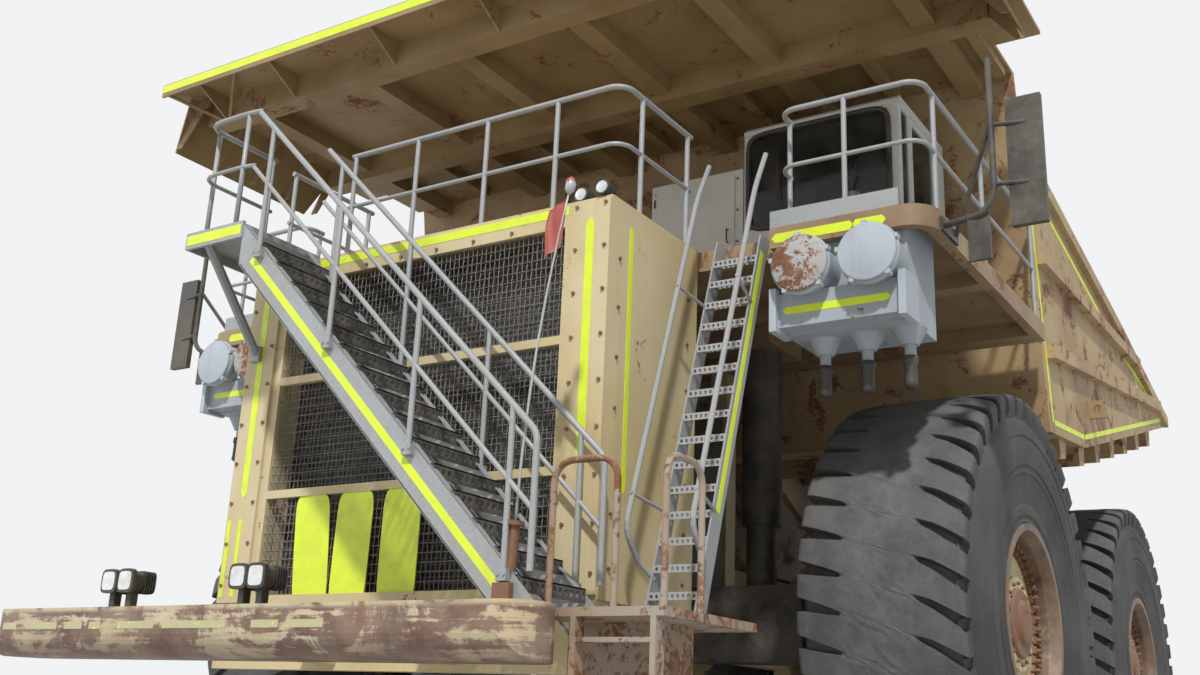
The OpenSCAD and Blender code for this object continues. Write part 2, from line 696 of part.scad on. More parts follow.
deck_front = -2480;
deck_beam = 180;
deck_back = 1000;
well_x1 = ladder_x + ladder_w / 2 + 110;
// Plan of the deck, drawn in by d all round
module deck_outline(d = 0) {
    difference() {
        union() {
            translate([-deck_half + d, deck_front + 250]) square([2 * (deck_half - d), deck_back - deck_front - 250 - d]);
            for (e = [-1, 1]) translate([e * (deck_half - 250), deck_front + 250]) circle(r = 250 - d);
            translate([-deck_half + 250, deck_front + d]) square([2 * deck_half - 500, 400]);
        }
        // Room for the housing's top and for the head of the ladder
        translate([-house_half - d, deck_front - 100]) square([2 * (house_half + d), house_back - deck_front + 100 + d]);
        translate([house_half - d - eps, deck_front - 100])
            square([well_x1 - house_half + 2 * d + eps, -ladder_head + 80 - deck_front + 100 + d]);
    }
}
module deck() {
    color(rust) placed() {
        translate([0, 0, deck_z - 40]) linear_extrude(40) deck_outline();
        // Edge channel round the deck and the beams under it
        translate([0, 0, deck_z - deck_beam]) linear_extrude(deck_beam - 39) difference() {
            deck_outline();
            deck_outline(90);
        }
        for (y = [-900, post_y - 110]) span([-deck_half + 60, y, deck_z - deck_beam], [deck_half - 60, y + 160, deck_z - 39]);
        both() span([strut_x - 260, -400, deck_z - 260], [strut_x + 260, 400, deck_z - 39]);
    }
}

// A handrail: top and middle tubes along the corners on the floor, and its posts
module handrail(floor, posts) {
    tube([for (p = floor) [p[0], p[1], deck_z + rail_high]]);
    tube([for (p = floor) [p[0], p[1], deck_z + rail_mid]], tube_r - 5);
    for (p = posts) translate([p[0], p[1], deck_z]) cylinder(r = tube_r - 2, h = rail_high, $fn = 20);
}
module deck_rails() {
    edge = 60;
    x = deck_half - edge;
    y = deck_front + edge;
    hx = house_half - edge;
    hy = house_front + 200;
    color(zinc) placed() {
        // Across the housing and back along its sides
        handrail([[stair_top_x + 60, hy], [hx, hy], [hx, house_back - 60]],
            [[stair_top_x + 100, hy], [-300, hy], [500, hy], [1250, hy], [hx, hy + 300], [hx, house_back - 120]]);
        handrail([[-hx, hy], [-hx, house_back - 60]], [[-hx, hy + 40], [-hx, house_back - 120]]);
        // Round the left and right decks
        both() handrail([[well_x1 + edge, y + 260], [well_x1 + edge, y], [x, y], [x, deck_back - 60]],
            [[well_x1 + edge, y + 220], [x - 650, y], [x, y + 300], [x, -800], [x, deck_back - 100]]);
        // Kick plates on the decks' front edges
        both() span([well_x1, deck_front + 4, deck_z], [deck_half - 250, deck_front + 16, deck_z + 150]);
    }
}

module deck_cabinets() {
    color(white) placed() {
        // Beside the cab, and the resistor and control boxes on the right deck
        span([450, -550, deck_z], [cab_x0 - 30, 800, deck_z + 1600]);
        span([-3600, -500, deck_z], [-2100, 800, deck_z + 1400]);
        span([-1950, -500, deck_z], [-600, 800, deck_z + 1400]);
    }
}

air_x1 = deck_half - 220;
air_x0 = air_x1 - 1030;
air_y = deck_front + 98;
lid_r = 240;
lid_z = deck_z - deck_beam - lid_r - 20;
// Face of the box to the lids' faces
lid_out = 330;
module air_cleaners() {
    color(zinc) placed() both() {
        span([air_x0, air_y, deck_z - 920], [air_x1, air_y + 640, deck_z - 40]);
        span([air_x0 - 30, air_y - 160, deck_z - 900], [air_x1 + 30, air_y + eps, deck_z - 620]);
        // Round lids of the two filter chambers
        for (x = [air_x0 + 260, air_x0 + 820]) translate([x, air_y + eps, lid_z]) rotate([90, 0, 0]) {
            cylinder(r = lid_r - 20, h = lid_out - 30);
            translate([0, 0, lid_out - 60]) cylinder(r = lid_r, h = 60);
        }
        // Dust cups: cone and neck
        for (x = [air_x0 + 230, air_x0 + 590, air_x0 + 940]) translate([x, air_y + 260, deck_z - 919]) {
            translate([0, 0, -130]) cylinder(r1 = 70, r2 = 140, h = 131);
            translate([0, 0, -420]) cylinder(r = 45, h = 300);
        }
    }
}

mirror_x = deck_half + 450;
mirror_y = -2300;
module mirrors() {
    color(dark) placed() both() {
        span([deck_half, mirror_y + 60, deck_z - 170], [deck_half + 25, mirror_y + 460, deck_z - 60]);
        tube([[deck_half + 12, mirror_y + 120, deck_z - 120], [mirror_x, mirror_y, deck_z - 120],
            [mirror_x, mirror_y, deck_z + 1180]], 26, 200);
        rod([mirror_x, mirror_y, deck_z + 620], [deck_half + 22, mirror_y + 400, deck_z - 110], 20);
        for (z = [100, 600]) rod([mirror_x, mirror_y, deck_z + z], [mirror_x + 260, mirror_y + 20, deck_z + z - 20], 18);
        span([mirror_x + 110, mirror_y + 10, deck_z - 260], [mirror_x + 380, mirror_y + 70, deck_z + 800]);
        span([mirror_x - 230, mirror_y + 40, deck_z - 480], [mirror_x - 60, mirror_y + 75, deck_z - 90]);
    }
}

// Middle of the lamps on the bumper
lamp_y = -bumper_reach + 150;
module lamps() {
    color(white) placed() {
        // Pairs of lamps on the bumper, and work lamps on the housing's top corners
        for (x = [-1840, -1640, -360, -170]) {
            translate([x, lamp_y + 60, bumper_z + 210]) rotate([90, 0, 0]) cylinder(r = 85, h = 120);
            translate([x, lamp_y, bumper_z]) cylinder(r = 20, h = 140);
        }
        for (e = [-1, 1], d = [0, 260]) translate([e * (house_half - 90), house_front + 90 + d * 0.2, deck_z + 70])
            translate([-e * d * 0.9, 0, 0]) {
                rotate([90, 0, 0]) cylinder(r = 60, h = 110);
                translate([0, -55, -70]) cylinder(r = 20, h = 40);
            }
        // Red beacons
        for (e = [-1, 1]) translate([e * (deck_half - 700), deck_front + 200, deck_z]) cylinder(r = 60, h = 260);
    }
}

// Cab

cab_x1 = cab_x0 + cab_w;
cab_y0 = -cab_front;
cab_y1 = cab_y0 + cab_d;
cab_z1 = deck_z + cab_h;
glass_t = 16;
door_y0 = cab_y0 + 330;
door_y1 = door_y0 + door_w;
door_z0 = deck_z + 110;
door_z1 = cab_z1 - 110;
door_gap = 8;

// Hinges of the door: outside the wall, over the gap behind the door
hinge_r = 16;
hinge_pin_r = 8;
hinge_h = 90;
hinge_leaf = 60;
hinge_at = [cab_x1 + hinge_r + 2, door_y1 + door_gap / 2];
hinge_z = [door_z0 + 250, door_z1 - 430];

// The cab's side outline, its front leaning back a little to the roof
cab_side = [[cab_y0, deck_z], [cab_y0, cab_z1 - 60], [cab_y0 + 60, cab_z1], [cab_y1, cab_z1], [cab_y1, deck_z]];
module cab_shell() {
    w = cab_wall;
    // Lower knuckle of each hinge with its pin, on a leaf behind the gap
    color(white) placed() for (z = hinge_z) {
        translate([hinge_at[0], hinge_at[1], z]) {
            cylinder(r = hinge_r, h = hinge_h);
            cylinder(r = hinge_pin_r, h = 2 * hinge_h - 5);
        }
        span([cab_x1 - eps, hinge_at[1] + 8, z], [hinge_at[0], hinge_at[1] + hinge_leaf, z + hinge_h]);
    }
    color(white) placed() difference() {
        slab_x(cab_x0, cab_x1, cab_side);
        span([cab_x0 + w, cab_y0 + w, deck_z + w], [cab_x1 - w, cab_y1 - w, cab_z1 - w]);
        // Windscreen, inner side window, rear window
        span([cab_x0 + 60, cab_y0 - eps, deck_z + 880], [cab_x1 - 110, cab_y0 + w + eps, cab_z1 - 130]);
        span([cab_x0 - eps, cab_y0 + 150, deck_z + 950], [cab_x0 + w + eps, cab_y1 - 150, cab_z1 - 150]);
        span([cab_x0 + 200, cab_y1 - w - eps, deck_z + 950], [cab_x1 - 200, cab_y1 + eps, cab_z1 - 150]);
        // Quarter window ahead of the door, and the doorway
        span([cab_x1 - w - eps, cab_y0 + 90, deck_z + 880], [cab_x1 + eps, door_y0 - 60, cab_z1 - 130]);
        span([cab_x1 - w - eps, door_y0 - door_gap, door_z0 - door_gap], [cab_x1 + eps, door_y1 + door_gap, door_z1 + door_gap]);
    }
}
module cab_glass() {
    d = (cab_wall - glass_t) / 2;
    color(smoke) placed() {
        span([cab_x0 + 60, cab_y0 + d, deck_z + 880], [cab_x1 - 110, cab_y0 + d + glass_t, cab_z1 - 130]);
        span([cab_x0 + d, cab_y0 + 150, deck_z + 950], [cab_x0 + d + glass_t, cab_y1 - 150, cab_z1 - 150]);
        span([cab_x0 + 200, cab_y1 - d - glass_t, deck_z + 950], [cab_x1 - 200, cab_y1 - d, cab_z1 - 150]);
        span([cab_x1 - d - glass_t, cab_y0 + 90, deck_z + 880], [cab_x1 - d, door_y0 - 60, cab_z1 - 130]);
    }
}
module cab_interior() {
    x = (cab_x0 + cab_x1) / 2;
    z = deck_z + cab_wall;
    color(dark) placed() {
        // Seat, steering column and dashboard
        span([x - 200, cab_y0 + 700, z], [x + 200, cab_y0 + 1050, z + 350]);
        span([x - 270, cab_y0 + 620, z + 350 - eps], [x + 270, cab_y0 + 1120, z + 500]);
        span([x - 260, cab_y0 + 1040, z + 499], [x + 260, cab_y0 + 1170, z + 1150]);
        span([cab_x0 + cab_wall + 5, cab_y0 + cab_wall + 5, z], [cab_x1 - cab_wall - 5, cab_y0 + 330, z + 750]);
        rod([x, cab_y0 + 300, z + 700], [x, cab_y0 + 420, z + 860], 35);
        translate([x, cab_y0 + 430, z + 875]) rotate([-37, 0, 0]) difference() {
            cylinder(r = 220, h = 30);
            translate([0, 0, -eps]) cylinder(r = 185, h = 32);
        }
        for (a = [0, 120, 240]) translate([x, cab_y0 + 430, z + 875]) rotate([-37, 0, 0]) rotate([0, 0, a + 90])
            span([-15, -15, 5], [200, 15, 25]);
    }
}
door_window = [[door_y0 + 70, door_z0 + 780], [door_y1 - 70, door_z1 - 70]];
module cab_door() {
    // Upper knuckle of each hinge round the pin
    color(white) placed() for (z = hinge_z) difference() {
        union() {
            translate([hinge_at[0], hinge_at[1], z + hinge_h + 1]) cylinder(r = hinge_r, h = hinge_h);
            span([cab_x1 - eps, hinge_at[1] - hinge_leaf, z + hinge_h + 1], [hinge_at[0], hinge_at[1] - 8, z + 2 * hinge_h + 1]);
        }
        translate([hinge_at[0], hinge_at[1], z]) cylinder(r = hinge_pin_r + pin_gap, h = 3 * hinge_h);
    }
    color(white) placed() difference() {
        span([cab_x1 - cab_wall, door_y0, door_z0], [cab_x1, door_y1, door_z1]);
        span([cab_x1 - cab_wall - eps, door_window[0][0], door_window[0][1]],
            [cab_x1 + eps, door_window[1][0], door_window[1][1]]);
    }
}
module door_glass() {
    d = (cab_wall - glass_t) / 2;
    color(smoke) placed() span([cab_x1 - d - glass_t, door_window[0][0], door_window[0][1]],
        [cab_x1 - d, door_window[1][0], door_window[1][1]]);
}

// Body, canopy and hoists

// The floor rises gently to the kink, then more to the tail
kink_y = 3000;
front_rise = 0.1;
function floor_at(y) = floor_z + (min(y, kink_y) - body_front) * front_rise + max(0, y - kink_y) * floor_rise;
front_wall_top = [body_front - 650, canopy_z];
// The side wall's top edge from the tail to the front
side_top = [[tail_y, floor_at(tail_y) + 140], [5500, 6300], [front_wall_top[0] + 260, 6950], front_wall_top];
bolster_pitch = 880;
bolster_d = 200;
girder_x = [rail_in + 75, rail_out - 75];
girder_z = rail_rear_z + 60;
// Outer stiffeners of a side wall: y, z at the front, then at the rear, and height
stiffeners = [[body_front + 60, 4780, 7900, 5690, 150], [body_front - 100, 5750, 6500, 5960, 140]];
// Eyes for lifting the body: y, z, plate, bore
lift = [3300, 4560];
lift_t = 60;
lift_r = 50;

module floor_line(x0, x1, low, high, y0, y1) {
    slab_x(x0, x1, [
        [y0, floor_at(y0) + low], [kink_y, floor_at(kink_y) + low], [y1, floor_at(y1) + low],
        [y1, floor_at(y1) + high], [kink_y, floor_at(kink_y) + high], [y0, floor_at(y0) + high]
    ]);
}
module dump_body() {
    color(cream) placed() {
        floor_line(-body_half, body_half, 0, floor_t, body_front, tail_y);
        // Front wall, leaning forward to the canopy
        slab_x(-body_half, body_half, [
            [body_front, floor_z], [body_front + 90, floor_z + floor_t], [front_wall_top[0] + 90, canopy_z], front_wall_top
        ]);
        both() {
            slab_x(body_half - wall_t, body_half, concat(
                [[body_front, floor_z], [kink_y, floor_at(kink_y)], [tail_y, floor_at(tail_y)]], side_top
            ));
            // Box stiffeners and the rolled top edge
            for (f = stiffeners) slab_x(body_half - eps, body_half + 90, [
                [f[0], f[1]], [f[2], f[3]], [f[2], f[3] + f[4]], [f[0], f[1] + f[4]]
            ]);
            slab_x(body_half - eps, body_half + 60, [
                side_top[0] - [0, 150], side_top[1] - [0, 150], side_top[2] - [0, 150],
                side_top[2], side_top[1], side_top[0]
            ]);
            // Lifting eye on the side wall
            difference() {
                span([body_half - eps, lift[0], lift[1]], [body_half + 180, lift[0] + lift_t, lift[1] + 200]);
                translate([body_half + 95, lift[0] - eps, lift[1] + 100]) rotate([-90, 0, 0])
                    cylinder(r = lift_r, h = lift_t + 2 * eps);
            }
        }
        // Bolsters under the floor, let in round the girders
        difference() {
            for (y = [body_front + 600 : bolster_pitch : tail_y - 500]) slab_x(-body_half + 60, body_half - 60, [
                [y, floor_at(y) + 10], [y + 60, floor_at(y) - bolster_d], [y + 260, floor_at(y) - bolster_d + 40],
                [y + 320, floor_at(y + 320) + 10]
            ]);
            girder_plates();
        }
    }
}
// Girders that carry the floor down to the pivot, and the ears beside the eyes of the hoists
module girder_plates() {
    both() {
        slab_x(girder_x[0], girder_x[1], [
            [1900, floor_at(1900)], [2300, floor_z - 220], [4000, girder_z],
            [pivot_y - 200, girder_z], [pivot_y + 250, pivot_z + 200],
            [tail_y - 200, floor_at(tail_y - 200)], [kink_y, floor_at(kink_y)]
        ]);
        for (x = [hoist_x - hoist_eye_w / 2 - 10 - hoist_ear, hoist_x + hoist_eye_w / 2 + 10])
            slab_x(x, x + hoist_ear, [
                [hoist_top[0] - 300, floor_at(hoist_top[0] - 300)], [hoist_top[0] - 120, hoist_top[1] - 130],
                [hoist_top[0] + 120, hoist_top[1] - 130], [hoist_top[0] + 300, floor_at(hoist_top[0] + 300)],
                [kink_y, floor_at(kink_y)]
            ]);
    }
}
module body_girders() {
    color(cream) placed() {
        girder_plates();
        both() {
            translate([girder_x[0], pivot_y, pivot_z]) rotate([0, 90, 0]) cylinder(r = 145, h = girder_x[1] - girder_x[0]);
            translate([rail_in, pivot_y, pivot_z]) rotate([0, 90, 0]) cylinder(r = pivot_r, h = rail_w);
        }
    }
}
module canopy() {
    front = -canopy_reach;
    color(cream) placed() {
        span([-canopy_half, front, canopy_z], [canopy_half, 120, canopy_z + canopy_t]);
        span([-body_half, 119, canopy_z], [body_half, front_wall_top[0] + 90, canopy_z + canopy_t]);
        // Front lip, cross beams and long ribs under the plate
        span([-canopy_half, front, canopy_z - 60], [canopy_half, front + 20, canopy_z + 90]);
        for (y = [front + 480, front + 2450]) span([-canopy_half + 250, y, canopy_z - 260], [canopy_half - 250, y + 240, canopy_z + eps]);
        for (x = [-3600, -2000, -700, 700, 2000, 3600]) span([x - 110, front + 500, canopy_z - 180], [x + 110, front_wall_top[0] - 20, canopy_z + eps]);
    }
}

hoist_run = [hoist_top[0] - hoist_base[0], hoist_top[1] - hoist_base[1]];
hoist_len = norm(hoist_run);
hoist_lean = atan2(hoist_run[0], hoist_run[1]);
module along_hoist() {
    translate([hoist_x, hoist_base[0], hoist_base[1]]) rotate([-hoist_lean, 0, 0]) children();
}
stage_r = hoist_r - hoist_wall - hoist_gap;
ram_r = stage_r - hoist_wall - hoist_gap;
module hoist_barrels() {
    color(dark) placed() both() along_hoist() {
        difference() {
            union() {
                translate([-hoist_eye_w / 2, 0, 0]) rotate([0, 90, 0]) cylinder(r = 130, h = hoist_eye_w);
                translate([-hoist_eye_w / 2, -100, 0]) cube([hoist_eye_w, 200, 240]);
                translate([0, 0, 220]) cylinder(r = hoist_r, h = hoist_len - 220 - 300);
            }
            translate([-hoist_eye_w, 0, 0]) rotate([0, 90, 0]) cylinder(r = hoist_pin_r + pin_gap, h = 2 * hoist_eye_w);
            translate([0, 0, 280]) cylinder(r = hoist_r - hoist_wall, h = hoist_len);
        }
    }
}
module hoist_stages() {
    color(zinc) placed() both() along_hoist() difference() {
        translate([0, 0, 300]) cylinder(r = stage_r, h = hoist_len - 300 - 240);
        translate([0, 0, 330]) cylinder(r = stage_r - hoist_wall, h = hoist_len);
    }
}
// Eye of the ram to its thick part, clear of the ears that turn round the eye
ram_neck = 200;
module hoist_rods() {
    color(zinc) placed() both() along_hoist() {
        translate([0, 0, 350]) cylinder(r = ram_r, h = hoist_len - 350 - ram_neck);
        translate([0, 0, hoist_len - ram_neck - eps]) cylinder(r = hoist_eye_w / 2 - 5, h = ram_neck);
        translate([-hoist_eye_w / 2, 0, hoist_len]) rotate([0, 90, 0]) cylinder(r = 125, h = hoist_eye_w);
    }
}

frame();
front_axle();
rear_axle();
bumper();
engine();
tanks();
radiator_housing();
grille();
radiator_core();
front_stair();
stair_rails();
boarding_ladder();
lower_platform();
deck();
deck_rails();
deck_cabinets();
air_cleaners();
mirrors();
lamps();
cab_shell();
cab_glass();
cab_interior();
cab_door();
door_glass();
knuckle_left();
knuckle_right();
tie_rod();
steer_barrel_left();
steer_barrel_right();
steer_rod_left();
steer_rod_right();
tyre_front_left();
tyre_front_right();
rim_front_left();
rim_front_right();
tyres_rear_left();
tyres_rear_right();
rims_rear_left();
rims_rear_right();
hoist_barrels();
hoist_stages();
hoist_rods();
dump_body();
body_girders();
canopy();
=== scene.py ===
"""Looks of the mining dump truck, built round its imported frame.

Metres. The truck faces -Y, +X is its left side, where the cab stands, +Z is up. Lengths along the truck are
counted from the front axle, as in the solids, and FRONT_AXLE_Y moves them to the frame's origin.
"""

import math

import bpy
import numpy as np
from mathutils import Matrix, Vector


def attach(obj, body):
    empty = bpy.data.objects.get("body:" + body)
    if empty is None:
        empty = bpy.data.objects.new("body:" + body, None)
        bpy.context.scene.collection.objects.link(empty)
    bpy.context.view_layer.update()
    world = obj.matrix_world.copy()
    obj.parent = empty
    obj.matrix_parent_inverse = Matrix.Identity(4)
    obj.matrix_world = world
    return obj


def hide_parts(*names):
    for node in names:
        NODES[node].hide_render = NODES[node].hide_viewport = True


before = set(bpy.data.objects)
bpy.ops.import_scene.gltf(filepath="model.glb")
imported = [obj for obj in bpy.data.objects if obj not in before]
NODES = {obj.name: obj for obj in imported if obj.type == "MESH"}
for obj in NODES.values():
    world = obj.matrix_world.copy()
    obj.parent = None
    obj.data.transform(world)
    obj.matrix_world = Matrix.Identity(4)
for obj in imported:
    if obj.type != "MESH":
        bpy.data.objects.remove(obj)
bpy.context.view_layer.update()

RNG = np.random.default_rng(45)

# Places that several pieces share
FRONT_AXLE_Y = -1.8
WHEELBASE = 6.2
AXLE_Z = 2.0
DECK_Z, BUMPER_Z = 5.0, 1.74
BUMPER_FRONT = -5.0
# Columns of the housing, and the beams that stand 30 mm behind their faces
COLUMN_FRONT, BEAM_FRONT = -3.71, -3.68
DECK_FRONT = -2.48
# Front walls of the cab and of the white cabinet beside it
CAB_FRONT = -0.55
BODY_SIDE = 4.0
# Underside of the canopy's plate, and the face of its lip
CANOPY_Z, CANOPY_FRONT = 7.70, -3.30
# Front wall of the air cleaners' boxes, and the lids on it
AIR_Y = -2.382
LID_Y, LID_Z = AIR_Y - 0.33, 4.56
LID_INNER_X, LID_OUTER_X = 3.11, 3.67

LEFT, BACK, UP, FACE = (1, 0, 0), (0, 1, 0), (0, 0, 1), (0, -1, 0)

# Colours as seen in the light, in linear values
CREAM = (0.55, 0.43, 0.21)
CREAM_PALE = (0.62, 0.52, 0.32)
DUST = (0.42, 0.36, 0.27)
RUST = (0.16, 0.055, 0.022)
RUST_PALE = (0.26, 0.125, 0.062)
ZINC = (0.29, 0.305, 0.315)
ZINC_PALE = (0.40, 0.42, 0.43)
RUBBER = (0.030, 0.030, 0.032)
RUBBER_WORN = (0.12, 0.12, 0.125)
GREASE = (0.018, 0.016, 0.014)
WHITE = (0.66, 0.66, 0.62)
HIVIS = (0.70, 0.84, 0.02)


def surface(name):
    """The painter of a new material."""
    return Painter(bpy.data.materials.new(name))


class Painter:
    """Short calls for the nodes of a material or world. Sockets and plain values are both taken as inputs."""

    def __init__(self, made):
        made.use_nodes = True
        made.node_tree.nodes.clear()
        self.made, self.tree = made, made.node_tree
        self.at = self.node("ShaderNodeTexCoord").outputs["Object"]

    def node(self, kind, inputs=None, **settings):
        made = self.tree.nodes.new(kind)
        for key, value in settings.items():
            setattr(made, key, value)
        for key, value in (inputs or {}).items():
            socket = made.inputs[key]
            if isinstance(value, bpy.types.NodeSocket):
                self.tree.links.new(value, socket)
            elif isinstance(value, tuple) and len(value) == 3 and socket.type == "RGBA":
                socket.default_value = (*value, 1.0)
            else:
                socket.default_value = value
        return made

    def stretched(self, scale, turn=(0, 0, 0)):
        """Object coordinates, scaled along the axes and turned."""
        return self.node(
            "ShaderNodeMapping", {"Vector": self.at, "Scale": scale, "Rotation": turn}
        ).outputs[0]

    def noise(self, scale, detail=4.0, rough=0.6, at=None, distortion=0.0):
        return self.node("ShaderNodeTexNoise", {
            "Vector": at or self.at, "Scale": scale, "Detail": detail, "Roughness": rough,
            "Distortion": distortion,
        }).outputs[0]

    def cells(self, scale, at=None):
        return self.node("ShaderNodeTexVoronoi", {"Vector": at or self.at, "Scale": scale}).outputs[0]

    def math(self, operation, a, b=0.0, clamp=False):
        made = self.node("ShaderNodeMath", {0: a, 1: b}, operation=operation)
        made.use_clamp = clamp
        return made.outputs[0]

    def times(self, a, b):
        return self.math("MULTIPLY", a, b)

    def plus(self, a, b, clamp=False):
        return self.math("ADD", a, b, clamp=clamp)

    def larger(self, a, b):
        return self.math("MAXIMUM", a, b)

    def band(self, value, low, high, to_low=0.0, to_high=1.0):
        """Maps low..high to to_low..to_high, smoothly, and holds it outside."""
        return self.node(
            "ShaderNodeMapRange",
            {"Value": value, "From Min": low, "From Max": high, "To Min": to_low, "To Max": to_high},
            interpolation_type="SMOOTHSTEP",
        ).outputs[0]

    def mix(self, factor, a, b):
        made = self.node("ShaderNodeMix", data_type="RGBA")
        for index, value in ((0, factor), (6, a), (7, b)):
            if isinstance(value, bpy.types.NodeSocket):
                self.tree.links.new(value, made.inputs[index])
            elif index:
                made.inputs[index].default_value = (*value, 1.0)
            else:
                made.inputs[index].default_value = value
        return made.outputs[2]

    def axis(self, index, source=None):
        return self.node("ShaderNodeSeparateXYZ", {0: source or self.at}).outputs[index]

    def upward(self):
        """1 on faces that look up, 0 on walls and undersides."""
        normal = self.node("ShaderNodeNewGeometry").outputs["Normal"]
        return self.band(self.axis(2, normal), 0.25, 0.95)

    def bump(self, height, strength, distance):
        inputs = {"Height": height, "Strength": strength, "Distance": distance}
        return self.node("ShaderNodeBump", inputs).outputs[0]

    def finish(self, colour, rough, normal=None, metallic=0.0, **more):
        inputs = {"Base Color": colour, "Roughness": rough, "Metallic": metallic, **more}
        if normal is not None:
            inputs["Normal"] = normal
        shader = self.node("ShaderNodeBsdfPrincipled", inputs)
        self.node("ShaderNodeOutputMaterial", {0: shader.outputs[0]})
        return self.made


def weathered(name, paint, shade, rust=0.35, dust=0.5, rough=0.55, rust_size=2.2, streaks=0.25):
    """Paint faded in patches, rusted in spots and streaks, with dust on what looks up."""
    p = surface(name)
    fade = p.band(p.noise(0.9, 5.0), 0.3, 0.72)
    colour = p.mix(fade, paint, shade)
    streak = p.band(p.noise(1.0, 6.0, 0.65, p.stretched((9.0, 9.0, 0.55))), 0.52, 0.78)
    colour = p.mix(p.times(streak, streaks), colour, RUST_PALE)
    patch = p.noise(rust_size, 9.0, 0.72, distortion=0.6)
    spots = p.noise(rust_size * 11.0, 5.0, 0.7)
    eaten = p.plus(patch, p.times(spots, 0.35))
    edge = 0.845 - 0.18 * rust
    worn = p.band(eaten, edge, edge + 0.045)
    bare = p.mix(p.band(p.noise(14.0, 6.0), 0.35, 0.7), RUST, RUST_PALE)
    colour = p.mix(worn, colour, bare)
    lying = p.times(p.upward(), p.band(p.noise(3.0, 6.0), 0.2, 0.75, 0.35, 1.0))
    film = p.band(p.noise(2.1, 8.0, 0.7), 0.35, 0.8, 0.0, 0.45)
    dusty = p.larger(lying, film)
    colour = p.mix(p.times(dusty, dust), colour, DUST)
    gloss = p.plus(rough, p.times(p.larger(worn, dusty), 0.3), clamp=True)
    grain = p.noise(60.0, 3.0)
    relief = p.plus(p.times(worn, -0.6), p.times(grain, 0.25))
    return p.finish(colour, gloss, p.bump(relief, 0.35, 0.004))


def zinc(name, tone=ZINC, pale=ZINC_PALE, rust=0.1):
    """Galvanised steel: a faint crystal pattern, dust, and small rusty runs."""
    p = surface(name)
    crystal = p.band(p.cells(38.0), 0.1, 0.75)
    colour = p.mix(p.times(crystal, 0.4), tone, pale)
    cloud = p.band(p.noise(1.7, 6.0), 0.3, 0.75)
    colour = p.mix(p.times(cloud, 0.35), colour, DUST)
    eaten = p.band(p.noise(3.4, 9.0, 0.72), 0.70 - rust * 0.35, 0.76 - rust * 0.3)
    colour = p.mix(p.times(eaten, 0.75), colour, RUST_PALE)
    rough = p.plus(0.45, p.times(p.larger(cloud, eaten), 0.35))
    return p.finish(colour, rough, p.bump(p.noise(70.0, 3.0), 0.2, 0.002), metallic=0.25)


def dark_metal(name, tone=GREASE, dust=0.4):
    """Dark painted or greasy iron under a film of dust."""
    p = surface(name)
    film = p.band(p.noise(2.6, 8.0, 0.7), 0.3, 0.75, 0.05, 0.75)
    film = p.larger(film, p.upward())
    colour = p.mix(p.times(film, dust), tone, DUST)
    spots = p.band(p.noise(9.0, 7.0, 0.7), 0.62, 0.7)
    colour = p.mix(p.times(spots, 0.5), colour, RUST)
    rough = p.plus(0.4, p.times(film, 0.5))
    return p.finish(colour, rough, p.bump(p.noise(40.0, 4.0), 0.3, 0.003))


def worn_rubber(name):
    """Tyre rubber; the attribute wear is 0 in grooves, 0.3 on walls and up to 1 on the crown."""
    p = surface(name)
    wear = p.node("ShaderNodeAttribute", attribute_name="wear").outputs["Fac"]
    scuff = p.band(p.noise(3.2, 8.0, 0.72), 0.3, 0.7)
    lit = p.times(p.band(wear, 0.25, 1.0), p.plus(0.45, p.times(scuff, 0.55)))
    colour = p.mix(lit, RUBBER, RUBBER_WORN)
    dusty = p.band(p.noise(0.8, 6.0, 0.65), 0.35, 0.75, 0.0, 0.40)
    colour = p.mix(dusty, colour, (0.17, 0.155, 0.135))
    packed = p.times(p.math("LESS_THAN", wear, 0.1), p.band(p.noise(2.0, 5.0), 0.3, 0.7, 0.1, 0.5))
    colour = p.mix(packed, colour, (0.19, 0.165, 0.13))
    chips = p.band(p.cells(22.0, p.stretched((1.0, 1.0, 1.6))), 0.02, 0.3)
    fine = p.noise(35.0, 8.0, 0.75)
    relief = p.plus(p.times(chips, 0.5), fine)
    return p.finish(colour, p.band(fine, 0.3, 0.7, 0.72, 0.92), p.bump(relief, 0.5, 0.010))


def rim_face(name, axle_y):
    """Rim paint: rust-brown with clods of dust, and a cream dusty disc within 0.70 m of the axle's line."""
    p = surface(name)
    y = p.math("SUBTRACT", p.axis(1), axle_y)
    z = p.math("SUBTRACT", p.axis(2), AXLE_Z)
    away = p.math("SQRT", p.plus(p.times(y, y), p.times(z, z)))
    away = p.plus(away, p.times(p.noise(7.0, 6.0), 0.05))
    inside = p.band(away, 0.73, 0.75, 1.0, 0.0)
    brown = p.mix(p.band(p.noise(5.0, 7.0, 0.7), 0.35, 0.7), (0.085, 0.045, 0.028), (0.20, 0.115, 0.065))
    cream = p.mix(p.band(p.noise(4.0, 7.0, 0.7), 0.3, 0.7), CREAM, CREAM_PALE)
    colour = p.mix(inside, brown, cream)
    film = p.band(p.noise(2.3, 8.0, 0.7), 0.3, 0.8, 0.05, 0.35)
    colour = p.mix(film, colour, DUST)
    grease = p.band(p.noise(1.6, 7.0, 0.7), 0.58, 0.66)
    colour = p.mix(p.times(grease, 0.5), colour, GREASE)
    return p.finish(colour, p.band(film, 0.1, 0.6, 0.55, 0.9), p.bump(p.noise(45.0, 5.0), 0.4, 0.004))


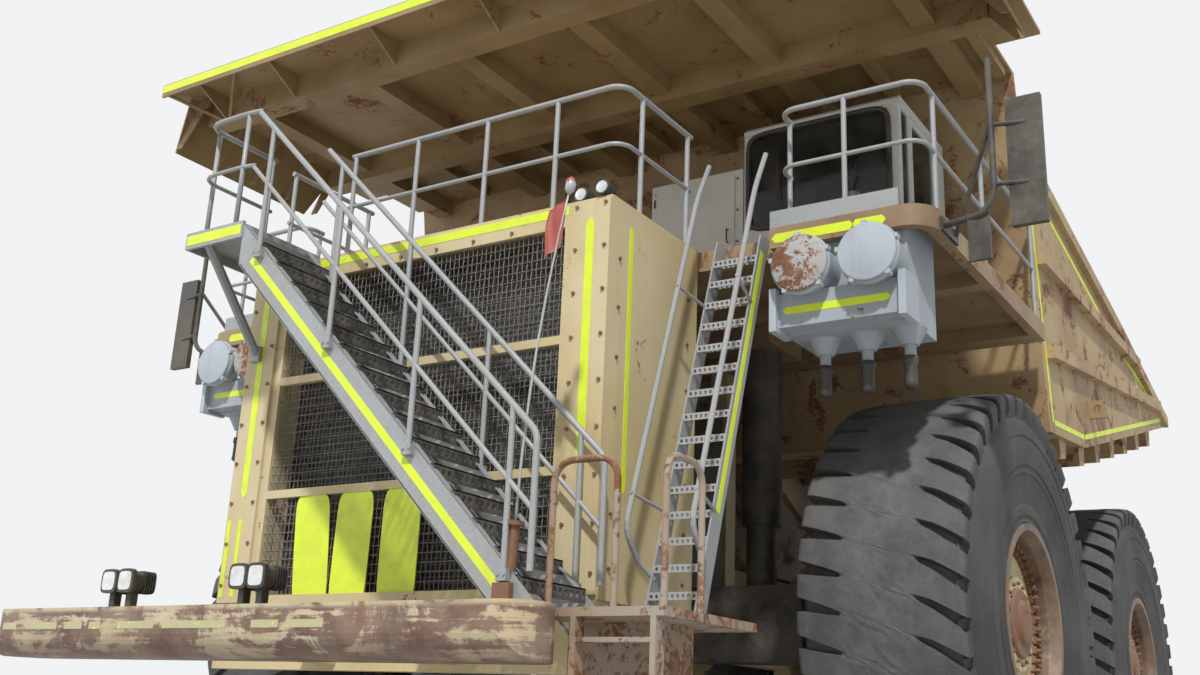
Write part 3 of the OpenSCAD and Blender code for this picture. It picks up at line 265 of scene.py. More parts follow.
def bumper_face(name):
    """Cream paint that flakes off maroon-brown primer, scratched aslant; pale top edge, bare lower third."""
    p = surface(name)
    z = p.axis(2)
    low = p.band(p.plus(z, p.times(p.noise(1.4, 6.0), 0.35)), 1.45, 1.72)
    patch = p.noise(1.9, 9.0, 0.72, distortion=0.8)
    scratch = p.noise(1.0, 6.0, 0.7, p.stretched((1.2, 1.2, 16.0), (0, math.radians(28), 0)))
    flake = p.plus(p.times(patch, 0.72), p.times(scratch, 0.4))
    kept = p.times(p.band(flake, 0.55, 0.61), low)
    kept = p.larger(kept, p.times(p.band(z, 1.69, 1.73), p.band(patch, 0.38, 0.5)))
    primer = p.mix(p.band(p.noise(3.0, 7.0), 0.35, 0.7), (0.105, 0.042, 0.028), (0.20, 0.10, 0.065))
    cream = p.mix(p.band(p.noise(2.4, 7.0), 0.3, 0.7), (0.50, 0.38, 0.21), (0.56, 0.48, 0.33))
    colour = p.mix(kept, primer, cream)
    dusty = p.times(p.band(p.noise(2.2, 8.0, 0.7), 0.3, 0.8), 0.5)
    dusty = p.larger(dusty, p.times(p.upward(), 0.8))
    colour = p.mix(dusty, colour, DUST)
    relief = p.plus(kept, p.times(p.noise(50.0, 4.0), 0.3))
    return p.finish(colour, p.plus(0.5, p.times(dusty, 0.4)), p.bump(relief, 0.4, 0.004))


def core_bricks(name):
    """Radiator core: rows of dark blocks 130 by 50 mm with paler seams and clogged dust."""
    p = surface(name)
    spread = p.node("ShaderNodeCombineXYZ", {0: p.axis(0), 1: p.axis(2)}).outputs[0]
    bricks = p.node("ShaderNodeTexBrick", {
        "Vector": spread, "Scale": 1.0, "Brick Width": 0.13, "Row Height": 0.05, "Mortar Size": 0.006,
        "Color1": (0.010, 0.010, 0.011), "Color2": (0.030, 0.029, 0.028), "Mortar": (0.115, 0.105, 0.09),
    })
    clog = p.band(p.noise(1.4, 7.0, 0.7), 0.45, 0.75, 0.0, 0.6)
    colour = p.mix(clog, bricks.outputs[0], (0.12, 0.10, 0.08))
    rough = p.band(p.noise(20.0, 4.0), 0.3, 0.7, 0.6, 0.9)
    return p.finish(colour, rough, p.bump(bricks.outputs[1], 0.6, 0.006))


def reflective(name, worn=0.2):
    """Yellow-green reflective tape: fine cells, dirt and scuffed edges."""
    p = surface(name)
    grime = p.band(p.noise(6.0, 8.0, 0.7), 0.35, 0.8, 0.0, 0.35)
    colour = p.mix(grime, HIVIS, (0.42, 0.40, 0.16))
    scraped = p.band(p.noise(9.0, 8.0, 0.75), 0.74 - worn * 0.5, 0.78 - worn * 0.5)
    colour = p.mix(p.times(scraped, 0.85), colour, DUST)
    return p.finish(colour, p.plus(0.35, grime), p.bump(p.cells(160.0), 0.15, 0.001))


def clear_lens(name, tone, rough=0.12, **more):
    """Lamp glass with moulded ribs and a film of dust."""
    p = surface(name)
    film = p.band(p.noise(8.0, 7.0, 0.7), 0.35, 0.8, 0.0, 0.45)
    colour = p.mix(film, tone, DUST)
    ribs = p.node("ShaderNodeTexWave", {"Vector": p.at, "Scale": 22.0, "Distortion": 0.3}).outputs[1]
    return p.finish(colour, p.plus(rough, film), p.bump(ribs, 0.25, 0.002), **more)


def tinted(name):
    """Dark tinted glass with a film of dust."""
    p = surface(name)
    film = p.band(p.noise(3.0, 7.0, 0.7), 0.35, 0.75)
    colour = p.mix(p.times(film, 0.5), (0.012, 0.014, 0.016), (0.10, 0.09, 0.075))
    rough = p.band(film, 0.0, 1.0, 0.04, 0.25)
    return p.finish(colour, rough, p.bump(p.noise(2.0, 2.0), 0.02, 0.01), IOR=1.5, Alpha=0.55)


CREAM_PAINT = weathered("cream_paint", CREAM, CREAM_PALE, rust=0.2, dust=0.35)
BODY_PAINT = weathered(
    "body_paint", (0.45, 0.32, 0.155), (0.30, 0.19, 0.085), rust=0.65, dust=0.45, streaks=0.6
)
CANOPY_PAINT = weathered("canopy_paint", (0.235, 0.15, 0.06), (0.34, 0.235, 0.11), rust=0.4, dust=0.15)
BUMPER_PAINT = bumper_face("bumper_paint")
CAB_PAINT = weathered("cab_paint", WHITE, (0.55, 0.55, 0.50), rust=0.05, dust=0.35, streaks=0.12)
BROWN_PAINT = weathered("brown_paint", (0.33, 0.23, 0.115), (0.21, 0.125, 0.07), rust=0.6, dust=0.4)
PLATFORM_PAINT = weathered("platform_paint", (0.36, 0.33, 0.28), (0.30, 0.19, 0.11), rust=0.9, dust=0.5)
BOX_PAINT = weathered("box_paint", (0.37, 0.42, 0.46), (0.31, 0.34, 0.36), rust=0.2, dust=0.35, streaks=0.3)
GALVANISED = zinc("galvanised")
GALVANISED_PALE = zinc("galvanised_pale", ZINC_PALE, (0.50, 0.51, 0.51), 0.05)
TREAD_IRON = dark_metal("tread_iron", (0.035, 0.036, 0.038), 0.35)
DARK_IRON = dark_metal("dark_iron")
BLACK_IRON = dark_metal("black_iron", (0.01, 0.01, 0.01), 0.25)
MESH_WIRE = dark_metal("mesh_wire", (0.095, 0.09, 0.082), 0.5)
CLAMP_RUST = weathered("clamp_rust", (0.22, 0.125, 0.07), RUST, rust=0.5, dust=0.4)
LID_RUSTY = weathered("lid_rusty", (0.40, 0.42, 0.42), (0.36, 0.30, 0.24), rust=0.95, dust=0.3)
LID_PALE = weathered("lid_pale", (0.44, 0.50, 0.55), (0.37, 0.41, 0.44), rust=0.15, dust=0.2)
FLAG_CLOTH = weathered("flag_cloth", (0.34, 0.045, 0.03), (0.42, 0.13, 0.09), rust=0.0, dust=0.5)
RUBBER_TRIM = dark_metal("rubber_trim", (0.016, 0.016, 0.017), 0.2)
TYRE_RUBBER = worn_rubber("tyre_rubber")
RIM_FRONT = rim_face("rim_front", FRONT_AXLE_Y)
RIM_REAR = rim_face("rim_rear", FRONT_AXLE_Y + WHEELBASE)
CAB_GLASS = tinted("cab_glass")
STEEL_ROD = zinc("steel_rod", (0.30, 0.31, 0.32), (0.5, 0.5, 0.5), 0.05)
CORE_BLOCKS = core_bricks("core_blocks")
HIVIS_TAPE = reflective("hivis_tape")
HIVIS_WORN = reflective("hivis_worn", 0.7)
LENS = clear_lens("lens_clear", (0.62, 0.64, 0.64), metallic=0.3)
RED_LENS = clear_lens("lens_red", (0.42, 0.02, 0.012))

# What the frame's own nodes wear, where no piece replaces them
FINISHES = (
    (CREAM_PAINT, "frame tanks radiator_housing"),
    (DARK_IRON, "front_axle rear_axle engine mirrors cab_interior tie_rod hoist_barrels"),
    (DARK_IRON, "knuckle_left knuckle_right steer_barrel_left steer_barrel_right"),
    (STEEL_ROD, "steer_rod_left steer_rod_right hoist_stages hoist_rods"),
    (BUMPER_PAINT, "bumper"),
    (BLACK_IRON, "grille lamps"),
    (CORE_BLOCKS, "radiator_core"),
    (GALVANISED, "front_stair stair_rails boarding_ladder deck_rails"),
    (PLATFORM_PAINT, "lower_platform"),
    (BROWN_PAINT, "deck"),
    (CAB_PAINT, "deck_cabinets cab_shell cab_door"),
    (BOX_PAINT, "air_cleaners"),
    (CAB_GLASS, "cab_glass door_glass"),
    (TYRE_RUBBER, "tyre_front_left tyre_front_right tyres_rear_left tyres_rear_right"),
    (RIM_FRONT, "rim_front_left rim_front_right"),
    (RIM_REAR, "rims_rear_left rims_rear_right"),
    (BODY_PAINT, "dump_body body_girders"),
    (CANOPY_PAINT, "canopy"),
)
for finish, node_names in FINISHES:
    for node_name in node_names.split():
        materials = NODES[node_name].data.materials
        materials.clear()
        materials.append(finish)


# Shapes, worked out as whole arrays in metres, with y counted from the front axle
BOX_FACES = [(0, 3, 2, 1), (4, 5, 6, 7), (0, 1, 5, 4), (1, 2, 6, 5), (2, 3, 7, 6), (3, 0, 4, 7)]


def turns(count):
    """Angles spaced evenly round a whole turn."""
    return np.linspace(0, 2 * np.pi, count, endpoint=False)


def unit(v):
    v = np.asarray(v, float)
    return v / np.linalg.norm(v)


def prism_faces(n):
    """Faces between an outline of n points and the same outline raised, with both ends."""
    sides = [(k, (k + 1) % n, n + (k + 1) % n, n + k) for k in range(n)]
    return sides + [tuple(range(n))[::-1], tuple(range(n, 2 * n))]


def outward(points, faces):
    """Turns the faces round where the closed form they make has a negative volume."""
    fan = np.concatenate([[(f[0], f[k], f[k + 1]) for k in range(1, len(f) - 1)] for f in faces]).astype(int)
    a, b, c = (points[fan[:, k]] - points.mean(0) for k in range(3))
    if np.einsum("ij,ij->", a, np.cross(b, c)) < 0:
        return [tuple(reversed(f)) for f in faces]
    return [tuple(f) for f in faces]


class Form:
    """The points and faces of one piece. Each part that is added is closed by itself."""

    def __init__(self):
        self.points, self.faces, self.tags, self.count = [], [], [], 0

    def add(self, points, faces, tag=0.0):
        points = np.asarray(points, float).reshape(-1, 3)
        faces = outward(points, faces)
        self.points.append(points)
        self.tags.append(np.broadcast_to(np.asarray(tag, float).reshape(-1), (len(points),)))
        self.faces += [tuple(i + self.count for i in f) for f in faces]
        self.count += len(points)
        return self

    def grid(self, points, wrap_rows=False, tag=0.0):
        """A surface from closed rows of points; its end rows are joined, or else closed by flat caps."""
        rows, columns = points.shape[:2]
        bands = rows if wrap_rows else rows - 1
        i, j = (k.ravel() for k in np.meshgrid(np.arange(bands), np.arange(columns), indexing="ij"))
        up, over = (i + 1) % rows, (j + 1) % columns
        corners = [i * columns + j, i * columns + over, up * columns + over, up * columns + j]
        faces = np.stack(corners, 1).tolist()
        if not wrap_rows:
            faces.append(list(range(columns))[::-1])
            faces.append(list(range((rows - 1) * columns, rows * columns)))
        return self.add(points, faces, tag)

    def box(self, low, high):
        """A box between two corners."""
        low, high = np.minimum(low, high), np.maximum(low, high)
        pick = [(x, y, z) for z in (0, 1) for x, y in ((0, 0), (1, 0), (1, 1), (0, 1))]
        return self.add(np.where(pick, high, low), BOX_FACES)

    def plate(self, outline, origin, along, across, thick):
        """A flat outline in the plane of two directions, given a thickness square to it."""
        along, across = unit(along), unit(across)
        across = unit(across - along * (along @ across))
        outline = np.asarray(outline, float)
        flat = np.asarray(origin, float) + outline[:, :1] * along + outline[:, 1:] * across
        raised = flat + np.cross(along, across) * thick
        return self.add(np.concatenate([flat, raised]), prism_faces(len(flat)))

    def tube(self, path, radius, sides=8):
        """A round section carried along a path, turned as little as the path allows."""
        path = np.asarray(path, float)
        tangent = np.gradient(path, axis=0)
        tangent /= np.linalg.norm(tangent, axis=1)[:, None]
        side = np.cross(tangent[0], [0.3, 0.5, 0.8])
        rows = []
        turn = turns(sides)
        radii = np.broadcast_to(radius, (len(path),))
        for point, direction, r in zip(path, tangent, radii):
            side = unit(side - direction * (direction @ side))
            other = np.cross(direction, side)
            rows.append(point + r * (np.cos(turn)[:, None] * side + np.sin(turn)[:, None] * other))
        return self.grid(np.array(rows))

    def lathe(self, profile, centre, axis, sides=32):
        """A profile of (distance along the axis, radius) turned round the axis."""
        axis = unit(axis)
        side = unit(np.cross(axis, UP if abs(axis[2]) < 0.9 else BACK))
        other = np.cross(axis, side)
        turn = turns(sides)
        ring = np.cos(turn)[:, None] * side + np.sin(turn)[:, None] * other
        along, out = np.asarray(profile, float).T[..., None, None]
        return self.grid(np.asarray(centre, float) + along * axis + out * ring)


def bent(corners, radius=0.15, steps=5):
    """A path through corners, each rounded by an arc-like curve p = (1-t)^2 a + 2t(1-t) corner + t^2 b."""
    corners = np.asarray(corners, float)
    path = [corners[0]]
    t = np.linspace(0, 1, steps)[:, None]
    for before, corner, after in zip(corners, corners[1:], corners[2:]):
        reach = min(radius, np.linalg.norm(before - corner) / 2.1, np.linalg.norm(after - corner) / 2.1)
        a, b = corner + unit(before - corner) * reach, corner + unit(after - corner) * reach
        path += list((1 - t) ** 2 * a + 2 * t * (1 - t) * corner + t**2 * b)
    return np.array(path + [corners[-1]])


def placed(name, data):
    """A new object in the scene."""
    made = bpy.data.objects.new(name, data)
    bpy.context.scene.collection.objects.link(made)
    return made


def piece(name, form, material, replaces=(), body="chassis", smooth=False, bevel=0.0):
    """Makes one object of a form and lets it ride on a body."""
    mesh = bpy.data.meshes.new(name)
    points = np.concatenate(form.points) + (0.0, FRONT_AXLE_Y, 0.0)
    mesh.from_pydata(points, [], form.faces)
    wear = mesh.attributes.new("wear", "FLOAT", "POINT")
    wear.data.foreach_set("value", np.concatenate(form.tags).astype(np.float32))
    mesh.polygons.foreach_set("use_smooth", np.full(len(mesh.polygons), smooth))
    mesh.materials.append(material)
    mesh.update()
    made = placed(name, mesh)
    if bevel:
        edge = made.modifiers.new("edge", "BEVEL")
        edge.width, edge.segments, edge.limit_method = bevel, 2, "ANGLE"
    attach(made, body)
    if replaces:
        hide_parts(*replaces)
    return made


# Tyres and wheels
TYRE_R = 2.0
LUGS = 42
PITCH = 2 * math.pi / LUGS
GROOVE_IN, GROOVE_OUT = 0.28, 0.68
GROOVE_DEPTH = 0.075
# Radius on the wall where the grooves run out
GROOVE_END_R = 1.765
# Slant of the grooves: distance from the middle, and the drop there in pitches
DROP_X = [-0.70, -0.28, 0.28, 0.45, 0.70]
DROP = [0.0, 0.31, 0.88, 1.12, 1.66]
KINGPIN_X = 2.35
REST_TURN = math.radians(-1.0)
# Middles of the tyres
FRONT_X, REAR_OUT_X, REAR_IN_X = 3.45, 3.2, 1.64
# Outer face of the disc that the clamps hold
DISC_X = 0.44
# Rings of nuts: number, ring's radius, nut's radius, and from where to where along the axle
CLAMP_NUTS = 44
WHEEL_NUTS = ((CLAMP_NUTS, 0.675, 0.027, DISC_X, DISC_X + 0.075), (16, 0.345, 0.018, 0.505, 0.535))
# Clamp under each outer nut: outwards and sideways from the nut
CLAMP_OUTLINE = ((-0.045, -0.034), (0.07, -0.034), (0.07, 0.034), (-0.045, 0.034))
# Hub cover: distance along the axle, radius
COVER_SIDES = 40
HUB_COVER = (
    (0.500, 0.30), (0.525, 0.30), (0.540, 0.285), (0.545, 0.20), (0.575, 0.17), (0.585, 0.12), (0.587, 0.02),
)
# Outer half of the section: distance from the middle, radius
SECTION = np.array([
    (0.03, 2.0), (0.10, 2.0), (0.18, 1.999), (0.25, 1.998), (0.29, 1.997), (0.35, 1.996),
    (0.43, 1.994), (0.51, 1.99), (0.59, 1.983), (0.645, 1.972), (0.672, 1.955), (0.682, 1.925),
    (0.676, 1.86), (0.662, 1.80), (0.655, 1.765), (0.668, 1.745), (0.686, 1.70), (0.696, 1.62),
    (0.688, 1.605), (0.699, 1.50), (0.697, 1.36), (0.686, 1.345), (0.690, 1.29), (0.682, 1.275),
    (0.665, 1.15), (0.645, 1.02), (0.657, 0.99), (0.655, 0.93), (0.640, 0.90), (0.648, 0.862),
    (0.60, 0.858),
])


def wheel_place(points, side, middle, front):
    """Moves points from a wheel's own axes, x outwards, to where the wheel stands."""
    x = side * (middle + points[..., 0])
    y, z = points[..., 1], points[..., 2] + AXLE_Z
    if not front:
        return np.stack([x, y + WHEELBASE, z], -1)
    c, s = math.cos(REST_TURN), math.sin(REST_TURN)
    dx = x - side * KINGPIN_X
    return np.stack([c * dx - s * y + side * KINGPIN_X, s * dx + c * y, z], -1)


def tyre(form, side, middle, front):
    """Carries the section s = (x, r) round the axle, at s - n * depth(x) inside a groove and at s outside.

    The middle of groove k stands at the angle (k - drop(x)) * PITCH. It is narrow inside and wide outside.
    """
    section = np.concatenate([SECTION[::-1] * (-1, 1), SECTION])
    x, r = section.T
    tangent = np.gradient(section, axis=0)
    normal = np.stack([-tangent[:, 1], tangent[:, 0]], 1) / np.linalg.norm(tangent, axis=1)[:, None]
    normal *= np.sign(normal[:, 1] * 2 + normal[:, 0] * np.sign(x))[:, None]
    reach = np.clip((np.abs(x) - GROOVE_IN) / (GROOVE_OUT - GROOVE_IN), 0, 1)
    open_side = np.clip((r - GROOVE_END_R) / 0.05, 0, 1)
    depth = GROOVE_DEPTH * np.clip(reach * 4.0, 0, 1) * open_side
    half = 0.004 + 0.043 * reach**0.8
    drop = np.interp(x, DROP_X, DROP)
    lip = 0.012
    gap = PITCH * TYRE_R - 2 * (half + lip)
    columns = np.stack(
        [-half - lip, -half, half, half + lip] + [half + lip + gap * f for f in (0.12, 0.35, 0.65, 0.88)], 1
    )
    inside = np.array([0, 1, 1, 0, 0, 0, 0, 0.0])
    arc = columns[:, None, :] / TYRE_R + (np.arange(LUGS)[None, :, None] - drop[:, None, None]) * PITCH
    arc = arc + RNG.normal(0, 0.0012, (1, LUGS, 8)) * reach[:, None, None]
    sunk = depth[:, None, None] * inside * (1 + RNG.normal(0, 0.08, (1, LUGS, 1)))
    crown = np.clip(1 - np.abs(x) / 0.33, 0, 1) ** 0.5 * (r > 1.9)
    sunk = sunk + crown[:, None, None] * RNG.uniform(0, 0.010, (len(x), LUGS, 8))
    px = x[:, None, None] - normal[:, 0, None, None] * sunk
    pr = r[:, None, None] - normal[:, 1, None, None] * sunk
    local = np.stack([px + 0 * arc, -pr * np.cos(arc), pr * np.sin(arc)], -1).reshape(len(x), LUGS * 8, 3)
    tread = np.clip((r - 1.90) / 0.06, 0, 1)
    wear = 0.30 * (1 - tread[:, None, None]) + tread[:, None, None] * (0.72 + 0.28 * crown[:, None, None])
    wear = np.where(sunk > 0.03, 0.0, wear + 0 * arc)
    form.grid(wheel_place(local, side, middle, front), wrap_rows=True, tag=wear)


def ring_of(count, radius):
    """Angles round a whole turn, and the points there."""
    turn = turns(count)
    return turn, np.stack([np.cos(turn), np.sin(turn)], 1) * radius


def wheel_trim(form, side, front):
    """Ring of rim clamps with nuts, and a hub cover with its own screws."""
    middle = FRONT_X if front else REAR_OUT_X

    def add(points, faces):
        form.add(wheel_place(np.asarray(points, float), side, middle, front), faces)

    def raise_outline(outline, low, high, faces):
        add([(low, *q) for q in outline] + [(high, *q) for q in outline], faces)

    hexagon = ring_of(6, 1.0)[1]
    for count, radius, size, low, high in WHEEL_NUTS:
        for angle, centre in zip(*ring_of(count, radius)):
            raise_outline(hexagon * size + centre, low, high, prism_faces(6))
            if count == CLAMP_NUTS:
                out = np.array([math.cos(angle), math.sin(angle)])
                over = np.array([-out[1], out[0]])
                corners = [centre + out * a + over * b for a, b in CLAMP_OUTLINE]
                raise_outline(corners, low - 0.002, low + 0.035, BOX_FACES)
    rows = [np.column_stack([np.full(COVER_SIDES, x), ring_of(COVER_SIDES, r)[1]]) for x, r in HUB_COVER]
    form.grid(wheel_place(np.array(rows), side, middle, front))


for side, hand in ((1, "left"), (-1, "right")):
    form = Form()
    tyre(form, side, FRONT_X, True)
    piece(f"tread_front_{hand}", form, TYRE_RUBBER, (f"tyre_front_{hand}",), f"wheel_front_{hand}")
    form = Form()
    tyre(form, side, REAR_OUT_X, False)
    tyre(form, side, REAR_IN_X, False)
    piece(f"tread_rear_{hand}", form, TYRE_RUBBER, (f"tyres_rear_{hand}",), f"wheels_rear_{hand}")
    for front, body in ((True, f"wheel_front_{hand}"), (False, f"wheels_rear_{hand}")):
        form = Form()
        wheel_trim(form, side, front)
        piece(f"{body}_clamps", form, CLAMP_RUST, body=body)

# Grille: crimped wires woven in three rows
MESH_HALF, MESH_Y = 1.53, -3.647
MESH_ROWS = ((1.96, 2.795), (2.865, 3.825), (3.895, 4.80))
WIRE_R, CELL_X, CELL_Z = 0.0048, 0.048, 0.075


def woven(form):
    """Wires y = MESH_Y + WIRE_R * cos(pi * n), n counting the crossings, the other set in opposite phase."""
    cos, sin = WIRE_R * np.cos(turns(4)), WIRE_R * np.sin(turns(4))
    for low, high in MESH_ROWS:
        nx = round(2 * MESH_HALF / CELL_X)
        nz = round((high - low) / CELL_Z)
        xs = np.linspace(-MESH_HALF, MESH_HALF, nx + 1)
        zs = np.linspace(low, high, nz + 1)
        for k, x in enumerate(xs[1:-1]):
            y = MESH_Y + WIRE_R * (-1.0) ** (np.arange(nz + 1) + k)
            form.grid(np.stack(np.broadcast_arrays(x + cos, y[:, None] + sin, zs[:, None]), -1))
        for k, z in enumerate(zs[1:-1]):
            y = MESH_Y - WIRE_R * (-1.0) ** (np.arange(nx + 1) + k)
            form.grid(np.stack(np.broadcast_arrays(xs[:, None], y[:, None] + sin, z + cos), -1))


form = Form()
woven(form)
piece("woven_mesh", form, MESH_WIRE, ("grille",))

# Stair, ladder and rails


def perforated(form, origin, along, across, size, cells, hole, thick):
    """A plate of cells, each a frame round an eight-sided hole: q = centre + (cos, sin) * hole radii."""
    origin, along, across = (np.asarray(v, float) for v in (origin, along, across))
    out = np.cross(along, across) * thick
    cu, cv = size[0] / cells[0], size[1] / cells[1]
    turn = turns(8)
    rim = np.array([(1, 0), (1, 1), (0, 1), (-1, 1), (-1, 0), (-1, -1), (0, -1), (1, -1)]) * (cu / 2, cv / 2)
    inner = np.stack([np.cos(turn) * hole[0], np.sin(turn) * hole[1]], 1)
    k = np.arange(8)
    n = (k + 1) % 8
    faces = np.concatenate([
        np.stack([k, n, n + 8, k + 8], 1), np.stack([k + 16, k + 24, n + 24, n + 16], 1),
        np.stack([k, k + 16, n + 16, n], 1), np.stack([k + 8, n + 8, n + 24, k + 24], 1),
    ]).tolist()
    for i in range(cells[0]):
        for j in range(cells[1]):
            flat = np.concatenate([rim, inner]) + ((i + 0.5) * cu, (j + 0.5) * cv)
            base = origin + flat[:, :1] * along + flat[:, 1:] * across
            form.add(np.concatenate([base, base + out]), faces)


STAIR_TOP, STAIR_FOOT, STAIR_Y, STAIR_W = -1.17, 2.12, -4.62, 0.78
# Width of the treads, and the thickness of their sheet and of the stringers
TREAD_W, TREAD_T, STRINGER_T = 0.762, 0.012, 0.014
STAIR_STEPS = 15
STRINGER_UP = 0.19
LANDING_X = STAIR_TOP - 0.72


def stair(form, treads):
    """Channel stringers with lips, perforated treads and risers, and the landing with its skirt and brace."""
    outline = [
        (STAIR_TOP, DECK_Z - 2 * STRINGER_UP), (STAIR_TOP, DECK_Z),
        (STAIR_FOOT - STRINGER_UP, BUMPER_Z + STRINGER_UP), (STAIR_FOOT, BUMPER_Z),
        (STAIR_FOOT - 2 * STRINGER_UP, BUMPER_Z),
    ]
    slope = np.array([STAIR_FOOT - STAIR_TOP - STRINGER_UP, 0, BUMPER_Z + STRINGER_UP - DECK_Z])
    length = np.linalg.norm(slope)
    for y, lip in ((STAIR_Y, 0.055), (STAIR_Y + STAIR_W, -0.055)):
        form.plate(outline, (0, y + STRINGER_T, 0), LEFT, UP, STRINGER_T)
        for drop in (0.006, 2 * STRINGER_UP - 0.008):
            start = np.array([STAIR_TOP, y + (0 if lip > 0 else STRINGER_T), DECK_Z - drop])
            edge = [(0.01, 0), (length - 0.02, 0), (length - 0.02, abs(lip)), (0.01, abs(lip))]
            form.plate(edge, start, slope, (0, math.copysign(1, lip), 0), 0.008)
    for i in range(1, STAIR_STEPS + 1):
        x = STAIR_TOP + (STAIR_FOOT - STAIR_TOP) * i / (STAIR_STEPS + 1)
        z = DECK_Z - (DECK_Z - BUMPER_Z) * i / (STAIR_STEPS + 1)
        y = STAIR_Y + 0.016
        riser, tread = (TREAD_W, 0.10), (TREAD_W, 0.25)
        perforated(treads, (x + 0.056, y, z - 0.12), BACK, UP, riser, (11, 1), (0.021, 0.027), TREAD_T)
        perforated(treads, (x + 0.068, y, z - 0.03), BACK, (-1, 0, 0), tread, (14, 3), (0.017, 0.03), TREAD_T)
    form.box((LANDING_X, STAIR_Y, DECK_Z - 0.05), (STAIR_TOP, COLUMN_FRONT, DECK_Z))
    form.box((LANDING_X, STAIR_Y - 0.01, DECK_Z - 0.13), (STAIR_TOP, STAIR_Y + 0.02, DECK_Z + 0.02))
    form.box((LANDING_X, STAIR_Y + 0.02, DECK_Z - 0.13), (LANDING_X + 0.02, COLUMN_FRONT, DECK_Z - 0.05))
    brace_head = (LANDING_X + 0.2, STAIR_Y + 0.06, DECK_Z - 0.06)
    form.tube([brace_head, (LANDING_X + 0.06, COLUMN_FRONT - 0.036, DECK_Z - 0.85)], 0.045)
    form.box((LANDING_X, COLUMN_FRONT - 0.05, DECK_Z - 0.93), (LANDING_X + 0.12, COLUMN_FRONT, DECK_Z - 0.79))


LADDER_X, LADDER_W, LADDER_FOOT, LADDER_HEAD = 2.43, 0.42, -3.38, -2.33
LADDER_RUNGS = 15


def ladder(form, treads):
    """Boarding ladder: stringers, rungs with rows of round holes, grab tubes with their stays."""
    rise, lean = DECK_Z - BUMPER_Z, LADDER_HEAD - LADDER_FOOT
    deep, sheet = 0.08, STRINGER_T
    outline = [(LADDER_FOOT - deep, BUMPER_Z), (LADDER_FOOT + deep, BUMPER_Z),
               (LADDER_HEAD + deep, DECK_Z), (LADDER_HEAD - deep, DECK_Z)]
    for e in (-1, 1):
        x = LADDER_X + e * LADDER_W / 2 - (sheet if e > 0 else 0)
        form.plate(outline, (x, 0, 0), BACK, UP, sheet)
        gx = LADDER_X + e * (LADDER_W / 2 + 0.06)
        sx = LADDER_X + e * (LADDER_W / 2 - 0.008)
        grab_foot = (gx, LADDER_FOOT - 0.06, BUMPER_Z + 0.42)
        form.tube(bent([
            grab_foot, (gx, LADDER_FOOT - 0.26, BUMPER_Z + 0.62),
            (gx, LADDER_HEAD - 0.33, DECK_Z + 0.3), (gx, LADDER_HEAD - 0.12, DECK_Z + 0.7),
        ]), 0.022)
        for t in (0.25, 0.8):
            grab_y = LADDER_FOOT - 0.26 + (lean - 0.07) * (t - 0.19) / 0.9
            form.tube([(sx, LADDER_FOOT + lean * t - 0.04, BUMPER_Z + rise * t),
                       (gx, grab_y, BUMPER_Z + rise * t + 0.09)], 0.014)
        form.tube([grab_foot, (sx, LADDER_FOOT + 0.06, BUMPER_Z + 0.3)], 0.018)
    x, wide = LADDER_X - LADDER_W / 2 + sheet, LADDER_W - 2 * sheet
    for i in range(1, LADDER_RUNGS + 1):
        t = i / (LADDER_RUNGS + 1)
        y, z = LADDER_FOOT + lean * t, BUMPER_Z + rise * t
        perforated(treads, (x, y - 0.078, z - 0.06), LEFT, UP, (wide, 0.055), (9, 1), (0.013, 0.016), 0.010)
        perforated(treads, (x, y - 0.08, z - 0.014), LEFT, BACK, (wide, 0.17), (9, 2), (0.014, 0.028), 0.012)


def rail_feet(form):
    """Clamps that hold the posts of the stair's rails on both stringers, each with two bolts."""
    for t in (0.08, 0.36, 0.64, 0.92):
        x = STAIR_TOP + (STAIR_FOOT - STAIR_TOP) * t
        z = DECK_Z - (DECK_Z - BUMPER_Z) * t
        far = STAIR_Y + STAIR_W
        for y0, y1, out in ((STAIR_Y - 0.052, STAIR_Y + 0.002, -1), (far + 0.012, far + 0.066, 1)):
            form.box((x - 0.042, y0, z - 0.11), (x + 0.042, y1, z - 0.03))
            for d in (-0.026, 0.026):
                centre = (x + d, y0 if out < 0 else y1, z - 0.07)
                form.lathe([(-0.001, 0.010), (0.010, 0.010), (0.010, 0.003)], centre, (0, out, 0), 6)


form = Form()
rail_feet(form)
piece("rail_feet", form, GALVANISED)
for name, build, node, finish in (
    ("stair", stair, "front_stair", TREAD_IRON), ("ladder", ladder, "boarding_ladder", GALVANISED_PALE),
):
    steel, treads = Form(), Form()
    build(steel, treads)
    piece(f"{name}_steel", steel, GALVANISED, (node,))
    piece(f"{name}_treads", treads, finish, (node,))

form = Form()
for high, r in ((6.08, 0.024), (5.56, 0.019)):
    corners = [(-1.10, -4.645, high - 0.05), (-1.30, -4.60, high), (-1.86, -4.60, high), (-1.86, -3.75, high)]
    form.tube(bent(corners, 0.2), r)
for x, y in ((-1.30, -4.60), (-1.86, -4.45), (-1.86, -3.80)):
    form.tube([(x, y, DECK_Z - 0.06), (x, y, 6.08)], 0.022)
piece("landing_rails", form, GALVANISED, smooth=True)

# Bright tapes and blank plates


def tape(form, start, end, width, out, tip=0.0):
    """A thin strip on a face; tip adds a point at both ends."""
    start, end, out = (np.asarray(v, float) for v in (start, end, out))
    along = end - start
    length = np.linalg.norm(along)
    across = np.cross(out, along)
    half = width / 2
    outline = [(0, -half), (length, -half), (length + tip, 0), (length, half), (0, half), (-tip, 0)]
    if not tip:
        outline = [outline[k] for k in (0, 1, 3, 4)]
    form.plate(outline, start - unit(out) * 0.001, along, across, 0.004)


